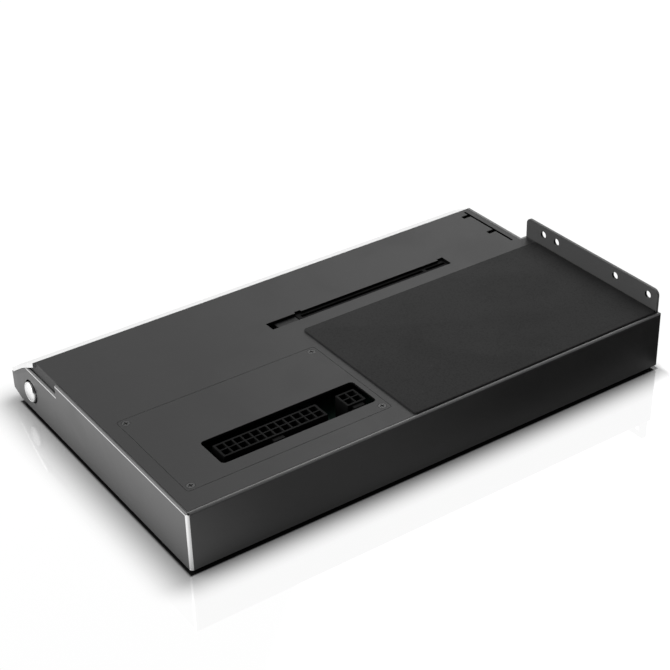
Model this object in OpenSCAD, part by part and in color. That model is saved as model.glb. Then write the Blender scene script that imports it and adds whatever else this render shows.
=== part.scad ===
// Expansion chassis for one desktop graphics card, with a stand for a PC power supply.
// Millimetres, +Z up. The origin is at the middle of the footprint, on the floor.
// +X is the end with the power button, -X the end with the supply flange,
// -Y is the sloped front and +Y the plain back wall.

/* [Body] */
// Length from the button end to the flange end
body_l = 256; // [246:1:280]
// Depth of the flat top, from the back wall to the start of the slope
body_d = 137; // [134:1:150]
// Height of the side walls
body_h = 28.6; // [28:0.2:34]
// Thickness of the side walls
wall_t = 3; // [2.4:0.2:3.6]
// Radius along the outer edges, and width of the lip round the top cover
edge_r = 1.3; // [1:0.1:1.6]
// Depth of the step in the end wall beside the supply flange
end_step = 4.7; // [3.5:0.1:6]
// Distance from the back wall to that step
end_step_v = 95.5; // [94:0.5:97]

/* [Top cover] */
// Thickness of the cover sheet
cover_t = 1.2; // [1:0.1:1.5]
// Width of the cover tab behind the rim of the end wall, from its start to the slope
tab_w = 21.6; // [18:0.2:26]
// Drop of the cover tab to the lower rim of the end wall
tab_drop = 6; // [5:0.1:6.6]

/* [Supply flange] */
// Height of the flange above the cover
flange_h = 11.6; // [10.5:0.1:14]
// Radius at the upper corners of the flange
flange_r = 3; // [2:0.5:4]
// Hole spacing for a full size supply
atx_pitch = 64; // [64:0.1:64.4]
// Hole spacing for a small supply
sfx_pitch = 51.5; // [51.5:0.1:52]
// Distance from the back wall to the first full size hole
atx_v = 7.7; // [7:0.1:8.5]
// Distance from the back wall to the first small supply hole
sfx_v = 29.9; // [29:0.1:31]
// Height of the holes above the cover
supply_hole_h = 7; // [6.5:0.1:7.2]
// Diameter of the holes, for a number 6-32 screw
supply_hole_d = 3.8; // [3.6:0.1:4.2]

/* [Supply mat] */
// Length of the mat, the depth of a full size supply
mat_l = 140; // [130:1:141]
// Width of the mat, the height of a full size supply
mat_w = 85.6; // [80:0.2:86]
// Thickness of the mat
mat_t = 1; // [0.8:0.1:1.5]

/* [Front fascia] */
// Depth of the sloped nose in front of the flat top
nose_d = 26; // [24:0.5:30]
// Height of the upper nose edge above the bottom edge
nose_top_h = 13.2; // [12:0.2:15]
// Height of the lower nose edge above the bottom edge
nose_low_h = 2.4; // [1.5:0.1:3.5]
// Depth from the flat top to the foot of the undercut
nose_foot_d = 18.7; // [17:0.1:20]
// Wall thickness of the fascia
fascia_t = 2; // [1.6:0.1:2.4]

/* [Socket panel] */
// Length of the removable panel
panel_l = 101.5; // [100:0.5:103]
// Width of the removable panel
panel_w = 60.5; // [58:0.5:62]
// Distance from the button end to the panel
panel_u = 7.9; // [7.5:0.1:9]
// Distance from the back wall to the panel
panel_v = 12.4; // [12:0.1:13]
// Distance from the button end to the power socket opening
bay_u = 29; // [28:0.5:29.5]
// Distance from the back wall to the power socket opening
bay_v = 20.2; // [19.5:0.1:21]
// Length of the power socket opening
bay_l = 77.8; // [77:0.1:78.2]
// Width of the power socket opening
bay_w = 18.8; // [18:0.1:20]
// Corner radius of the power socket opening
bay_r = 2; // [1:0.1:3]

/* [Card slot] */
// Distance from the front edge of the flat top to the middle of the card slot
slot_front = 36.8; // [36.4:0.1:37.4]
// Distance from the flange end to the opening over the slot
slot_end = 48.8; // [48.2:0.1:49.4]
// Length of the opening over the slot and its latch
slot_open_l = 104.6; // [104:0.1:105]
// Width of the opening over the slot
slot_open_w = 6.2; // [6:0.1:6.6]
// Length of the slot housing
slot_l = 89; // [88:0.1:90]
// Width of the slot housing
slot_w = 7.4; // [7:0.1:7.6]
// Height of the slot housing above the board
slot_h = 11.25; // [11:0.05:11.4]
// Width of the groove for the card edge
groove_w = 1.8; // [1.7:0.05:1.9]
// Depth of the groove for the card edge
groove_h = 8.9; // [8:0.1:9.2]
// Length of the short part of the groove
groove_short = 11.65; // [11.5:0.05:11.8]
// Length of the long part of the groove
groove_long = 71.65; // [71.5:0.05:71.8]
// Thickness of the key between them
key_t = 1.9; // [1.7:0.05:2]
// Spacing of the contacts
contact_pitch = 1; // [1:0.05:1.1]

/* [Card latch] */
// Height of the latch above the board
latch_h = 10.9; // [10:0.1:11.1]
// Thickness of the latch lever
latch_t = 3; // [2.4:0.1:3.4]
// Width of the latch
latch_w = 4.4; // [4:0.1:4.8]
// Diameter of the latch pin
latch_pin_d = 1.5; // [1.2:0.1:1.8]
// Angle at which the latch is drawn
latch_open = 0; // [0:1:20]

/* [Bracket slot] */
// Distance from the flange end to the slot for the card bracket
bracket_end = 9.6; // [9.2:0.1:10]
// Length of that slot behind the middle of the card slot
bracket_back = 3.8; // [3.2:0.1:4]
// Length of the slot
bracket_l = 38.4; // [37:0.1:38.6]
// Width of the slot
bracket_w = 1.3; // [1.2:0.1:1.6]
// Spacing of two card positions
card_pitch = 20.32; // [20.3:0.02:20.34]
// Length of each bracket notch
notch_l = 4.2; // [3:0.1:4.5]
// Width of each bracket notch
notch_w = 2.6; // [2:0.1:3]

/* [Power sockets] */
// Spacing of the power contacts
power_pitch = 4.2; // [4.2:0.05:4.3]
// Columns in the main socket
main_cols = 12; // [10:1:12]
// Width of a two row socket
socket_w = 9.6; // [9.4:0.1:9.8]
// Height of the sockets above the board
socket_h = 12.4; // [12.2:0.1:12.6]
// Distance from the button end to the main socket
main_u = 32.3; // [32:0.1:33]
// Distance from the button end to the small socket
aux_u = 94.3; // [93.8:0.1:94.8]
// Distance from the back wall to both sockets
socket_v = 24.4; // [24:0.1:25]

/* [Board] */
// Thickness of the circuit board
board_t = 1.6; // [1.4:0.1:1.8]
// Distance of the board from the outer faces
board_inset = 13; // [12.8:0.1:13.4]
// Diameter of the board standoffs
standoff_d = 5.5; // [5:0.1:6]
// Length of the storage card that the bay takes
card_l = 80; // [78:1:80]
// Width of the storage card
card_w = 22; // [22:0.1:22.2]

/* [Power button] */
// Distance of the button in front of the flat top
button_front = 5.8; // [5.4:0.1:7]
// Height of the button above the bottom edge
button_h = 10.3; // [10:0.1:11]
// Diameter of the button cap
button_d = 10; // [9:0.1:10.4]
// Gap round the cap in the wall
button_gap = 0.9; // [0.6:0.1:1]
// Height that the cap stands proud of the wall
button_proud = 1.8; // [1.6:0.1:2.4]
// Travel of the button
button_travel = 1; // [0.6:0.1:1.2]

/* [Host ports] */
// Width of the link socket
link_w = 17.6; // [16:0.1:19]
// Height of the link socket
link_h = 5.8; // [5:0.1:6.4]
// Width of the small socket
usb_w = 9; // [8.9:0.1:9.3]
// Height of the small socket
usb_h = 3.3; // [3.2:0.1:3.5]
// Distance from the back wall to the middle of the link socket
link_v = 34; // [28:0.5:40]
// Distance from the back wall to the middle of the small socket
usb_v = 62; // [56:0.5:68]

/* [Feet and base] */
// Thickness of the base plate
base_t = 1.5; // [1.2:0.1:2]
// Height of the feet under the body
foot_h = 2; // [1.5:0.1:3]
// Diameter of the feet
foot_d = 12; // [10:0.5:14]
// Distance of the feet from the outer faces
foot_inset = 32; // [30:1:40]

/* [Clearances] */
// Seam between covers and walls
seam = 0.2; // [0.1:0.05:0.3]
// Running gap between moving pieces
run_gap = 0.3; // [0.25:0.05:0.4]
// Gap round sockets and screws in their openings
hole_gap = 0.3; // [0.2:0.05:0.4]

/* [Hidden] */

$fn = 48;
// Overrun of every cut
over = wall_t / 6;
// Segments in a quarter of an edge rounding
edge_steps = 4;

// The length of the whole object along Y, and the planes that the rest hangs on
total_d = body_d + nose_d;
x_button_end = body_l / 2 - button_proud / 2;
y_back = total_d / 2;
z_base = foot_h;
z_floor = z_base + base_t;
z_top = z_base + body_h;
z_under = z_top - cover_t;
z_board = z_under - hole_gap / 2 - slot_h;
step_u = body_l - end_step;
slot_u = body_l - slot_end - slot_open_l;
slot_v = body_d - slot_front;
bracket_u = body_l - bracket_end;
bracket_v = slot_v - bracket_back;
button_v = body_d + button_front;
button_z = z_base + button_h;

// Places are given as u, from the button end, and v, from the back wall
function px(u) = x_button_end - u;
function py(v) = y_back - v;
// Points of an arc from angle a to angle b
function arc(c, r, a, b, n) =
    [for (i = [0:n]) c + r * [cos(a + (b - a) * i / n), sin(a + (b - a) * i / n)]];

module at(u, v, z = 0) {
    translate([px(u), py(v), z]) children();
}

// A block that starts at u and v and runs away from the button end and the back wall
module block(u, v, z, du, dv, dz) {
    translate([px(u + du), py(v + dv), z]) cube([du, dv, dz]);
}

// An outline in the plane of Y and Z, drawn out along X from u
module along_x(u, len) {
    translate([px(u + len), 0, 0]) rotate([90, 0, 90]) linear_extrude(len) children();
}

// An outline in the plane of X and Z, drawn out along Y from v
module along_y(v, len) {
    translate([0, py(v), 0]) rotate([90, 0, 0]) linear_extrude(len) children();
}

// A cylinder along X that starts at u and runs away from the button end
module rod_x(u, v, z, len, d) {
    at(u + len, v, z) rotate([0, 90, 0]) cylinder(h = len, d = d);
}

// A plate with rounded corners
module round_plate(u, v, z, du, dv, dz, r) {
    block(u + r, v, z, du - 2 * r, dv, dz);
    block(u, v + r, z, du, dv - 2 * r, dz);
    for (a = [u + r, u + du - r]) for (b = [v + r, v + dv - r]) at(a, b, z) cylinder(h = dz, r = r);
}

// A pan head screw with a cross recess: head up, top of the shank at z
module screw_up(u, v, z, shank_d, shank_l, head_d, head_h) {
    at(u, v, z) difference() {
        union() {
            translate([0, 0, -shank_l]) cylinder(h = shank_l, d = shank_d);
            cylinder(h = head_h, d1 = head_d, d2 = head_d * head_top_share, $fn = 40);
        }
        cross_recess(head_d, head_h);
    }
}

// The cross recess of a screw head of height h
module cross_recess(d, h) {
    for (a = [0, 90]) rotate([0, 0, a])
        translate([-d * cross_l_share / 2, -d * cross_w_share / 2, h * cross_floor_share])
            cube([d * cross_l_share, d * cross_w_share, h]);
}

// Shapes of the screw heads, as shares of the head
head_top_share = 0.8;
cross_l_share = 0.62;
cross_w_share = 0.16;
cross_floor_share = 0.35;

// The outline of the body seen from above, shrunk on its walled sides by g
module plan(g = 0, front = total_d, r = edge_r) {
    polygon(concat(
        arc([px(g + r), py(g + r)], r, 0, 90, edge_steps),
        arc([px(body_l - g - r), py(g + r)], r, 90, 180, edge_steps),
        [[px(body_l - g), py(end_step_v - g)], [px(step_u - g), py(end_step_v - g)],
         [px(step_u - g), py(front)], [px(g), py(front)]]));
}

nose_bulge_share = 0.5;
nose_bulge_drop_share = 0.44;
nose_round_share = 0.5;
// The outline of the body seen from the end, with the slope and the nose
nose_pts = [
    [py(body_d), z_top],
    [py(body_d + nose_d * nose_bulge_share), z_top - (body_h - nose_top_h) * nose_bulge_drop_share],
    [py(total_d - edge_r), z_base + nose_top_h + edge_r * nose_round_share],
    [py(total_d), z_base + nose_top_h - edge_r],
    [py(total_d), z_base + nose_low_h],
    [py(body_d + nose_foot_d), z_base]];

module side_outline() {
    edge = arc([py(edge_r), z_top - edge_r], edge_r, 0, 90, edge_steps);
    polygon(concat([[py(0), z_base]], edge, nose_pts));
}

// The outline of the body seen from the front, with both upper edges rounded
module end_outline() {
    polygon(concat([[px(0), z_base - over]],
        arc([px(edge_r), z_top - edge_r], edge_r, 0, 90, edge_steps),
        arc([px(body_l - edge_r), z_top - edge_r], edge_r, 90, 180, edge_steps),
        [[px(body_l), z_base - over]]));
}

module body_solid() {
    intersection() {
        translate([0, 0, z_base]) linear_extrude(body_h) plan();
        along_x(-over, body_l + 2 * over) side_outline();
        along_y(-over, total_d + 2 * over) end_outline();
    }
}

fascia_drop_share = 1.16;
// Height of the sloped wall of the fascia, measured upright
fascia_drop = fascia_t * fascia_drop_share;
// The posts that carry the long case screws
post_w = 8;
rail_w = 3;
post_front_v = body_d - rail_w - post_w / 2;
guide_w = 27;
guide_hgt = 8;
post_end_v = button_v - guide_w / 2 - post_w;
post_places = [
    [wall_t + post_w / 2, wall_t + post_w / 2],
    [body_l / 2, wall_t + post_w / 2],
    [body_l - wall_t - post_w / 2, wall_t + post_w / 2],
    [wall_t + post_w / 2, post_end_v],
    [body_l / 2, post_front_v],
    [step_u - wall_t - post_w / 2, post_front_v]];
// The rail under the front edge of the cover clears the button guide
rail_gap = 3.1;
z_rail = button_z + guide_hgt / 2 + rail_gap;
z_post = z_rail + wall_t;
z_tongue = z_under - fascia_t;
// Case screws of 3 mm thread, and the cover bosses they run into
case_screw_d = 3;
case_head_d = 5.6;
case_head_h = 1.4;
head_slope = (case_head_d - case_screw_d) / case_head_h;
boss_d = 6;
boss_h = z_under - z_post;
screw_skin = 2.4;
case_screw_l = z_under - screw_skin - z_base;

button_hole_d = button_d + 2 * button_gap;
link_z = z_board + link_h / 2;
usb_z = z_board + usb_h / 2;

module housing_frame() {
    color([0.33, 0.33, 0.34]) difference() {
        union() {
            difference() {
                body_solid();
                translate([0, 0, z_base - over])
                    linear_extrude(body_h + 2 * over) plan(wall_t, total_d + over, over);
                // Rebate that holds the cover sheet
                translate([0, 0, z_under]) linear_extrude(cover_t + over) plan(edge_r, body_d, over);
            }
            // Rail under the front edge of the cover
            block(wall_t - over, body_d - rail_w, z_rail, step_u - 2 * wall_t + 2 * over, rail_w,
                  z_tongue - z_rail);
            for (p = post_places) post(p);
            for (v = guide_screw_v) rod_x(wall_t - over, v, button_z, guide_post_l + over, guide_post_d);
        }
        for (p = post_places) at(p[0], p[1], z_base) cylinder(h = body_h, d = case_screw_d + hole_gap);
        for (v = guide_screw_v) rod_x(wall_t / 2, v, button_z, guide_post_l + wall_t, guide_screw_d);
        for (u = fascia_screw_u)
            at(u, body_d - rail_w / 2, z_rail - over) cylinder(h = body_h, d = fascia_screw_d + hole_gap);
        // Step in the end wall for the tab of the cover, with a rounded lower rim
        along_y(tab_v - seam, total_d) lower_rim();
        slope_room(seam);
        rod_x(-over, button_v, button_z, wall_t + 2 * over, button_hole_d);
        port_hole(link_v, link_z, link_w, link_h, port_r);
        port_hole(usb_v, usb_z, usb_w, usb_h, usb_h / 2 - seam);
    }
}
tab_v = body_d - tab_w;
z_rim = z_top - tab_drop;

// The outline of what is cut from the end wall above its lower rim
module lower_rim() {
    polygon(concat([[px(-over), z_rim - seam - edge_r]],
        arc([px(edge_r), z_rim - seam - edge_r], edge_r, 0, 90, edge_steps),
        [[px(wall_t + over), z_rim - seam], [px(wall_t + over), z_top + over],
         [px(-over), z_top + over]]));
}

// The room above the slope of the end walls for the ends of the fascia
module slope_room(g) {
    y0 = py(body_d);
    drop = fascia_drop + g;
    along_x(-over, body_l + 2 * over) polygon([
        [y0, z_top + over], [y0, z_top - drop], [nose_pts[1][0], nose_pts[1][1] - drop],
        [nose_pts[2][0], nose_pts[2][1] - drop], [py(total_d + over), nose_pts[2][1] - drop],
        [py(total_d + over), z_top + over]]);
}

// A post block that is one with the walls beside it
module post(p) {
    block(p[0] - post_w / 2 - over, p[1] - post_w / 2 - over, z_floor, post_w + 2 * over,
          post_w + 2 * over, z_post - z_floor);
}

// A slot with rounded ends through the end wall under the flange
port_r = 1;
module port_hole(v, z, w, h, r) {
    gw = w / 2 + hole_gap;
    gh = h / 2 + hole_gap;
    gr = r + hole_gap;
    along_x(body_l - wall_t - over, wall_t + 2 * over) {
        translate([py(v) - gw + gr, z - gh]) square([2 * gw - 2 * gr, 2 * gh]);
        translate([py(v) - gw, z - gh + gr]) square([2 * gw, 2 * gh - 2 * gr]);
        for (a = [-1, 1]) for (b = [-1, 1])
            translate([py(v) + a * (gw - gr), z + b * (gh - gr)]) circle(gr, $fn = 32);
    }
}

vent_n = 9;
vent_w = 2.4;
vent_l = 34;
vent_pitch = 6.4;
// Places of the two vent fields in the base, as shares of the length and the depth
vent_shares = [[0.3, 0.42], [0.7, 0.42]];
module base_plate() {
    g = wall_t + seam;
    plate_front = body_d + nose_foot_d - seam;
    color([0.16, 0.16, 0.17]) difference() {
        union() {
            block(g, g, z_base, step_u - 2 * g, plate_front - wall_t, base_t);
            block(g, g, z_base, body_l - 2 * g, end_step_v - 2 * g, base_t);
        }
        for (p = post_places) at(p[0], p[1], z_base - over) {
            cylinder(h = base_t + 2 * over, d = case_screw_d + hole_gap);
            cylinder(h = case_head_h + over, d1 = case_head_d + hole_gap + over * head_slope,
                     d2 = case_screw_d + hole_gap);
        }
        for (u = lip_screw_u) at(u, lip_screw_v, z_base - over) cylinder(h = base_t + 2 * over,
            d = fascia_screw_d + hole_gap);
        for (s = vent_shares) for (i = [0:vent_n - 1])
            at(s[0] * body_l + (i - (vent_n - 1) / 2) * vent_pitch, s[1] * total_d, z_base - over)
                vent_slot();
        for (p = standoff_places) at(p[0], p[1], z_base - over)
            cylinder(h = base_t + 2 * over, d = board_screw_d + hole_gap);
    }
}

module vent_slot() {
    h = base_t + 2 * over;
    translate([-vent_w / 2, -vent_l / 2, 0]) cube([vent_w, vent_l, h]);
    for (a = [-1, 1]) translate([0, a * vent_l / 2, 0]) cylinder(h = h, d = vent_w, $fn = 32);
}

foot_places = [
    [foot_inset, foot_inset], [body_l - foot_inset, foot_inset],
    [foot_inset, total_d - foot_inset - nose_foot_d / 2],
    [step_u - foot_inset, total_d - foot_inset - nose_foot_d / 2]];
module rubber_feet() {
    bevel = foot_h / 4;
    color([0.07, 0.07, 0.07]) for (p = foot_places) at(p[0], p[1]) rotate_extrude()
        polygon([[0, 0], [foot_d / 2 - bevel, 0], [foot_d / 2, bevel], [foot_d / 2, foot_h], [0, foot_h]]);
}

// The tab runs on under the slope as far as the lower rim does
tab_l = tab_w + (tab_drop - fascia_drop) / (nose_pts[0][1] - nose_pts[1][1]) * nose_d
    * nose_bulge_share;
slot_bump = 1.2;
slot_bump_l = 3.5;
module top_cover() {
    gap = edge_r + seam;
    color([0.2, 0.2, 0.21]) difference() {
        union() {
            translate([0, 0, z_under]) linear_extrude(cover_t)
                plan(gap, body_d - seam / 2, over);
            // Tab that closes the step in the end wall, behind its lower rim
            difference() {
                union() {
                    block(edge_r, tab_v, z_rim, cover_t, tab_l, tab_drop);
                    block(edge_r, tab_v, z_under, gap, tab_w - seam / 2, cover_t);
                }
                slope_room(seam);
            }
            supply_flange();
            for (p = post_places) at(p[0], p[1], z_post) cylinder(h = boss_h + over, d = boss_d);
        }
        for (p = post_places) at(p[0], p[1], z_post - over) cylinder(h = boss_h - over, d = case_screw_d);
        for (v = [atx_v, atx_v + atx_pitch, sfx_v, sfx_v + sfx_pitch])
            rod_x(body_l - edge_r - cover_t - 2 * over, v, z_top + supply_hole_h, cover_t + 4 * over,
                  supply_hole_d);
        // Opening under the socket panel, with a ledge for its screws
        round_plate(panel_u + ledge_w, panel_v + ledge_w, z_under - over, panel_l - 2 * ledge_w,
                    panel_w - 2 * ledge_w, cover_t + 2 * over, bay_r);
        round_plate(panel_u, panel_v, z_top - panel_t, panel_l, panel_w, cover_t, panel_r);
        round_plate(bay_u, bay_v, z_under - over, bay_l, bay_w, cover_t + 2 * over, bay_r);
        for (p = panel_screw_places) at(p[0], p[1], z_under - over)
            cylinder(h = cover_t + 2 * over, d = panel_screw_d + hole_gap);
        card_opening();
        bracket_opening();
    }
}

// Flange that the supply is screwed to, bent up from the cover
module supply_flange() {
    v0 = edge_r + seam;
    v1 = end_step_v - edge_r - seam;
    z1 = z_top + flange_h;
    along_x(body_l - edge_r - cover_t, cover_t) {
        translate([py(v1), z_under]) square([v1 - v0, z1 - flange_r - z_under]);
        translate([py(v1 - flange_r), z_under]) square([v1 - v0 - 2 * flange_r, z1 - z_under]);
        for (v = [v0 + flange_r, v1 - flange_r]) translate([py(v), z1 - flange_r]) circle(flange_r);
    }
}

// Opening over the slot, wider at both ends of the slot housing
module card_opening() {
    h = cover_t + 2 * over;
    v = slot_v - slot_shift;
    round_plate(slot_u, v - slot_open_w / 2, z_under - over, slot_open_l, slot_open_w, h, over);
    for (u = [slot_u + slot_open_l - slot_bump_l, slot_end_u - slot_l])
        block(u, v, z_under - over, slot_bump_l, slot_open_w / 2 + slot_bump, h);
}
// Length of the slot housing that is tucked under the cover
slot_tuck = 0.8;
// The opening lies a little nearer to the back than the slot
slot_shift = 0.9;
slot_end_u = slot_u + slot_open_l + slot_tuck;

module bracket_opening() {
    h = cover_t + 2 * over;
    block(bracket_u - bracket_w / 2, bracket_v, z_under - over, bracket_w, bracket_l, h);
    for (i = [0, 1])
        block(bracket_u - bracket_w / 2 - notch_l, bracket_v + bracket_l - notch_edge - i * card_pitch,
              z_under - over, notch_l + over, notch_w, h);
}
notch_edge = 5.8;

// The panel lies flush in a rebate of the cover
panel_t = 0.7;
panel_r = 1.6;
ledge_w = 6.6;
panel_screw_d = 2;
panel_head_d = 3.6;
panel_head_h = 0.6;
panel_edge = 3.2;
panel_screw_places = [for (a = [0, 1]) for (b = [0, 1])
    [panel_u + panel_edge + a * (panel_l - 2 * panel_edge),
     panel_v + panel_edge + b * (panel_w - 2 * panel_edge)]];

module socket_panel() {
    color([0.2, 0.2, 0.21]) difference() {
        union() {
            round_plate(panel_u + seam, panel_v + seam, z_top - panel_t, panel_l - 2 * seam,
                        panel_w - 2 * seam, panel_t, panel_r - seam);
            // Stiffening pan that hangs in the opening of the cover
            round_plate(panel_u + ledge_w + seam, panel_v + ledge_w + seam, z_under,
                        panel_l - 2 * ledge_w - 2 * seam, panel_w - 2 * ledge_w - 2 * seam, cover_t, bay_r);
        }
        round_plate(bay_u, bay_v, z_under - over, bay_l, bay_w, cover_t + 2 * over, bay_r);
        for (p = panel_screw_places) at(p[0], p[1], z_top - panel_t - over) {
            cylinder(h = panel_t + 2 * over, d = panel_screw_d + hole_gap);
            translate([0, 0, panel_t + over - panel_head_h])
                cylinder(h = panel_head_h + over, d = panel_head_d + hole_gap);
        }
    }
}

module panel_screws() {
    shank = cover_t - panel_head_h + panel_nut_h;
    color([0.1, 0.1, 0.1]) for (p = panel_screw_places) at(p[0], p[1], z_top - panel_head_h) difference() {
        union() {
            cylinder(h = panel_head_h, d = panel_head_d);
            translate([0, 0, -shank]) cylinder(h = shank + over / 2, d = panel_screw_d);
        }
        cross_recess(panel_head_d, panel_head_h);
    }
}

panel_nut_h = 1.6;
panel_nut_d = 4.2;
module panel_nuts() {
    color([0.7, 0.7, 0.68]) for (p = panel_screw_places) at(p[0], p[1], z_under - panel_nut_h)
        difference() {
            cylinder(h = panel_nut_h, d = panel_nut_d);
            translate([0, 0, -over]) cylinder(h = panel_nut_h + 2 * over, d = panel_screw_d + seam);
        }
}

module supply_mat() {
    u0 = body_l - edge_r - cover_t - seam - mat_l;
    color([0.17, 0.17, 0.17]) round_plate(u0, edge_r + seam, z_top, mat_l, mat_w, mat_t, mat_r);
}
mat_r = 0.6;

module front_fascia() {
    u0 = wall_t + seam;
    len = step_u - 2 * u0;
    y0 = py(body_d + seam / 2);
    inner_top = z_base + nose_top_h - fascia_t;
    color([0.82, 0.82, 0.83]) difference() {
        union() {
            along_x(u0, len) polygon([
                [y0, z_top], nose_pts[1], nose_pts[2], nose_pts[3], nose_pts[4], nose_pts[5],
                [py(body_d + nose_foot_d), z_floor],
                [py(body_d + nose_foot_d - lip_w), z_floor],
                [py(body_d + nose_foot_d - lip_w), z_floor + fascia_t],
                [py(body_d + nose_foot_d + over), z_floor + fascia_t],
                [py(total_d - fascia_t), z_base + nose_low_h + fascia_t],
                [py(total_d - fascia_t), inner_top],
                [py(body_d + nose_d * nose_bulge_share), nose_pts[1][1] - fascia_drop],
                [y0, z_top - fascia_drop],
                [y0, z_tongue],
                [py(body_d - rail_w), z_tongue],
                [py(body_d - rail_w), z_under],
                [y0, z_under]]);
            // The ends, which lie on the slope of both end walls
            along_x(0, step_u) polygon([
                [y0, z_top], nose_pts[1], nose_pts[2],
                [nose_pts[2][0], nose_pts[2][1] - fascia_drop],
                [nose_pts[1][0], nose_pts[1][1] - fascia_drop], [y0, z_top - fascia_drop]]);
        }
        for (u = fascia_screw_u) at(u, body_d - rail_w / 2, z_tongue - over)
            cylinder(h = fascia_t + 2 * over, d = fascia_screw_d);
        for (u = lip_screw_u) at(u, lip_screw_v, z_floor - over) cylinder(h = fascia_t + 2 * over,
            d = fascia_screw_d);
    }
}
lip_w = 8;
fascia_screw_d = 2;
fascia_head_d = 3.8;
fascia_head_h = 1.3;
fascia_screw_u = [for (s = [0.12, 0.37, 0.62, 0.87]) s * body_l];
lip_screw_u = [for (s = [0.15, 0.5, 0.83]) s * body_l];
lip_screw_v = body_d + nose_foot_d - lip_w / 2;
module fascia_head() {
    rotate([180, 0, 0])
        cylinder(h = fascia_head_h, d1 = fascia_head_d, d2 = fascia_head_d * head_top_share);
}

module fascia_screws() {
    lip_grip = base_t + fascia_t;
    rail_grip = z_tongue - z_rail;
    color([0.1, 0.1, 0.1]) {
        for (u = lip_screw_u) at(u, lip_screw_v, z_base) {
            fascia_head();
            cylinder(h = lip_grip, d = fascia_screw_d);
        }
        for (u = fascia_screw_u) at(u, body_d - rail_w / 2, z_rail) {
            fascia_head();
            cylinder(h = rail_grip + fascia_t, d = fascia_screw_d);
        }
    }
}

module case_screws() {
    color([0.12, 0.12, 0.12]) for (p = post_places) at(p[0], p[1], z_base) difference() {
        union() {
            cylinder(h = case_head_h, d1 = case_head_d, d2 = case_screw_d);
            cylinder(h = case_screw_l, d = case_screw_d);
        }
        translate([0, 0, -over]) cylinder(h = case_head_h / 2 + over, d = case_head_d * hex_share, $fn = 6);
    }
}
hex_share = 0.4;

board_u = board_inset;
board_v = board_inset;
board_l = body_l - 2 * board_inset + over;
board_w = body_d - 2 * board_inset + over;
board_screw_d = 2.5;
standoff_edge = 4;
standoff_places = [for (a = [0, 0.5, 1]) for (b = [0, 1])
    [board_u + standoff_edge + a * (board_l - 2 * standoff_edge),
     board_v + standoff_edge + b * (board_w - 2 * standoff_edge)]];

module main_board() {
    color([0.05, 0.1, 0.08]) difference() {
        block(board_u, board_v, z_board - board_t, board_l, board_w, board_t);
        for (p = standoff_places) at(p[0], p[1], z_board - board_t - over)
            cylinder(h = board_t + 2 * over, d = board_screw_d + hole_gap);
        at(storage_stand_u, storage_v, z_board - board_t - over)
            cylinder(h = board_t + 2 * over, d = storage_thread_d + hole_gap);
    }
}

module board_standoffs() {
    h = z_board - board_t - z_floor;
    color([0.72, 0.62, 0.35]) for (p = standoff_places) at(p[0], p[1], z_floor) difference() {
        cylinder(h = h, d = standoff_d);
        translate([0, 0, -over]) cylinder(h = h + 2 * over, d = board_screw_d + seam);
    }
}

board_head_d = 4.6;
board_head_h = 1.6;
board_shank = 6;
module board_screws() {
    color([0.6, 0.6, 0.6]) for (p = standoff_places) {
        screw_up(p[0], p[1], z_board, board_screw_d, board_shank, board_head_d, board_head_h);
        at(p[0], p[1], z_base + base_t) mirror([0, 0, 1]) {
            translate([0, 0, -board_shank + base_t]) cylinder(h = board_shank, d = board_screw_d);
            translate([0, 0, base_t]) cylinder(h = board_head_h / 2, d = board_head_d);
        }
    }
}

// The card slot stands on the board, its groove open at the top
slot_side = (slot_l - groove_long - groove_short - key_t) / 2;
cheek_step = 0.6;
slot_end_w = slot_w;
slot_mid_w = slot_w - 2 * seam;
cheek_t = (slot_end_w + 2 * cheek_step - latch_w - 2 * run_gap) / 2;
cheek_mid = latch_w / 2 + run_gap + cheek_t / 2;
cheek_l = 10.5;
cheek_h = 6.4;
pin_z = z_board + cheek_h / 2;
latch_u = slot_end_u - slot_l - latch_t / 2 - run_gap;

module slot_housing() {
    z_foot = z_board + slot_h - groove_h;
    u0 = slot_end_u - slot_l;
    u1 = slot_end_u - slot_side - groove_short;
    color([0.09, 0.09, 0.1]) difference() {
        union() {
            block(u0, slot_v - slot_mid_w / 2, z_board, slot_l, slot_mid_w, slot_h);
            for (u = [u0, slot_end_u - slot_bump_l])
                block(u, slot_v - slot_end_w / 2, z_board, slot_bump_l, slot_end_w, slot_h);
            // Cheeks that carry the latch pin
            for (s = [-1, 1])
                block(u0 - cheek_l, slot_v + s * cheek_mid - cheek_t / 2, z_board, cheek_l + over, cheek_t,
                      cheek_h);
        }
        block(u1, slot_v - groove_w / 2, z_foot, groove_short, groove_w, slot_h);
        block(u0 + slot_side, slot_v - groove_w / 2, z_foot, groove_long, groove_w, slot_h);
        for (s = [-1, 1]) for (i = [0:contact_long - 1])
            contact_pocket(u0 + slot_side + contact_pitch * (i + 1) - contact_pitch / 2, s);
        for (s = [-1, 1]) for (i = [0:contact_short - 1])
            contact_pocket(slot_end_u - slot_side - contact_pitch * (i + 1) + contact_pitch / 2, s);
        at(latch_u, slot_v, pin_z) rotate([90, 0, 0])
            cylinder(h = slot_w * 2, d = latch_pin_d, center = true);
    }
}
contact_long = 71;
contact_short = 11;
contact_w = 0.5;
contact_t = 0.45;
contact_lift = 1.1;
contact_h = slot_h - contact_lift * 2;
pocket_gap = 0.05;

// Where a contact starts, on side s of the groove
function contact_v(s) = slot_v + s * (groove_w / 2 + contact_t / 2) - contact_t / 2;

// A pocket beside the groove that holds one contact
module contact_pocket(u, s) {
    g = contact_w / 2 + pocket_gap;
    block(u - g, contact_v(s) - pocket_gap, z_board - over, 2 * g, contact_t + 2 * pocket_gap,
          contact_h + over);
}

module one_contact(u, s) {
    block(u - contact_w / 2, contact_v(s), z_board, contact_w, contact_t, contact_h - pocket_gap);
}

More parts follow.
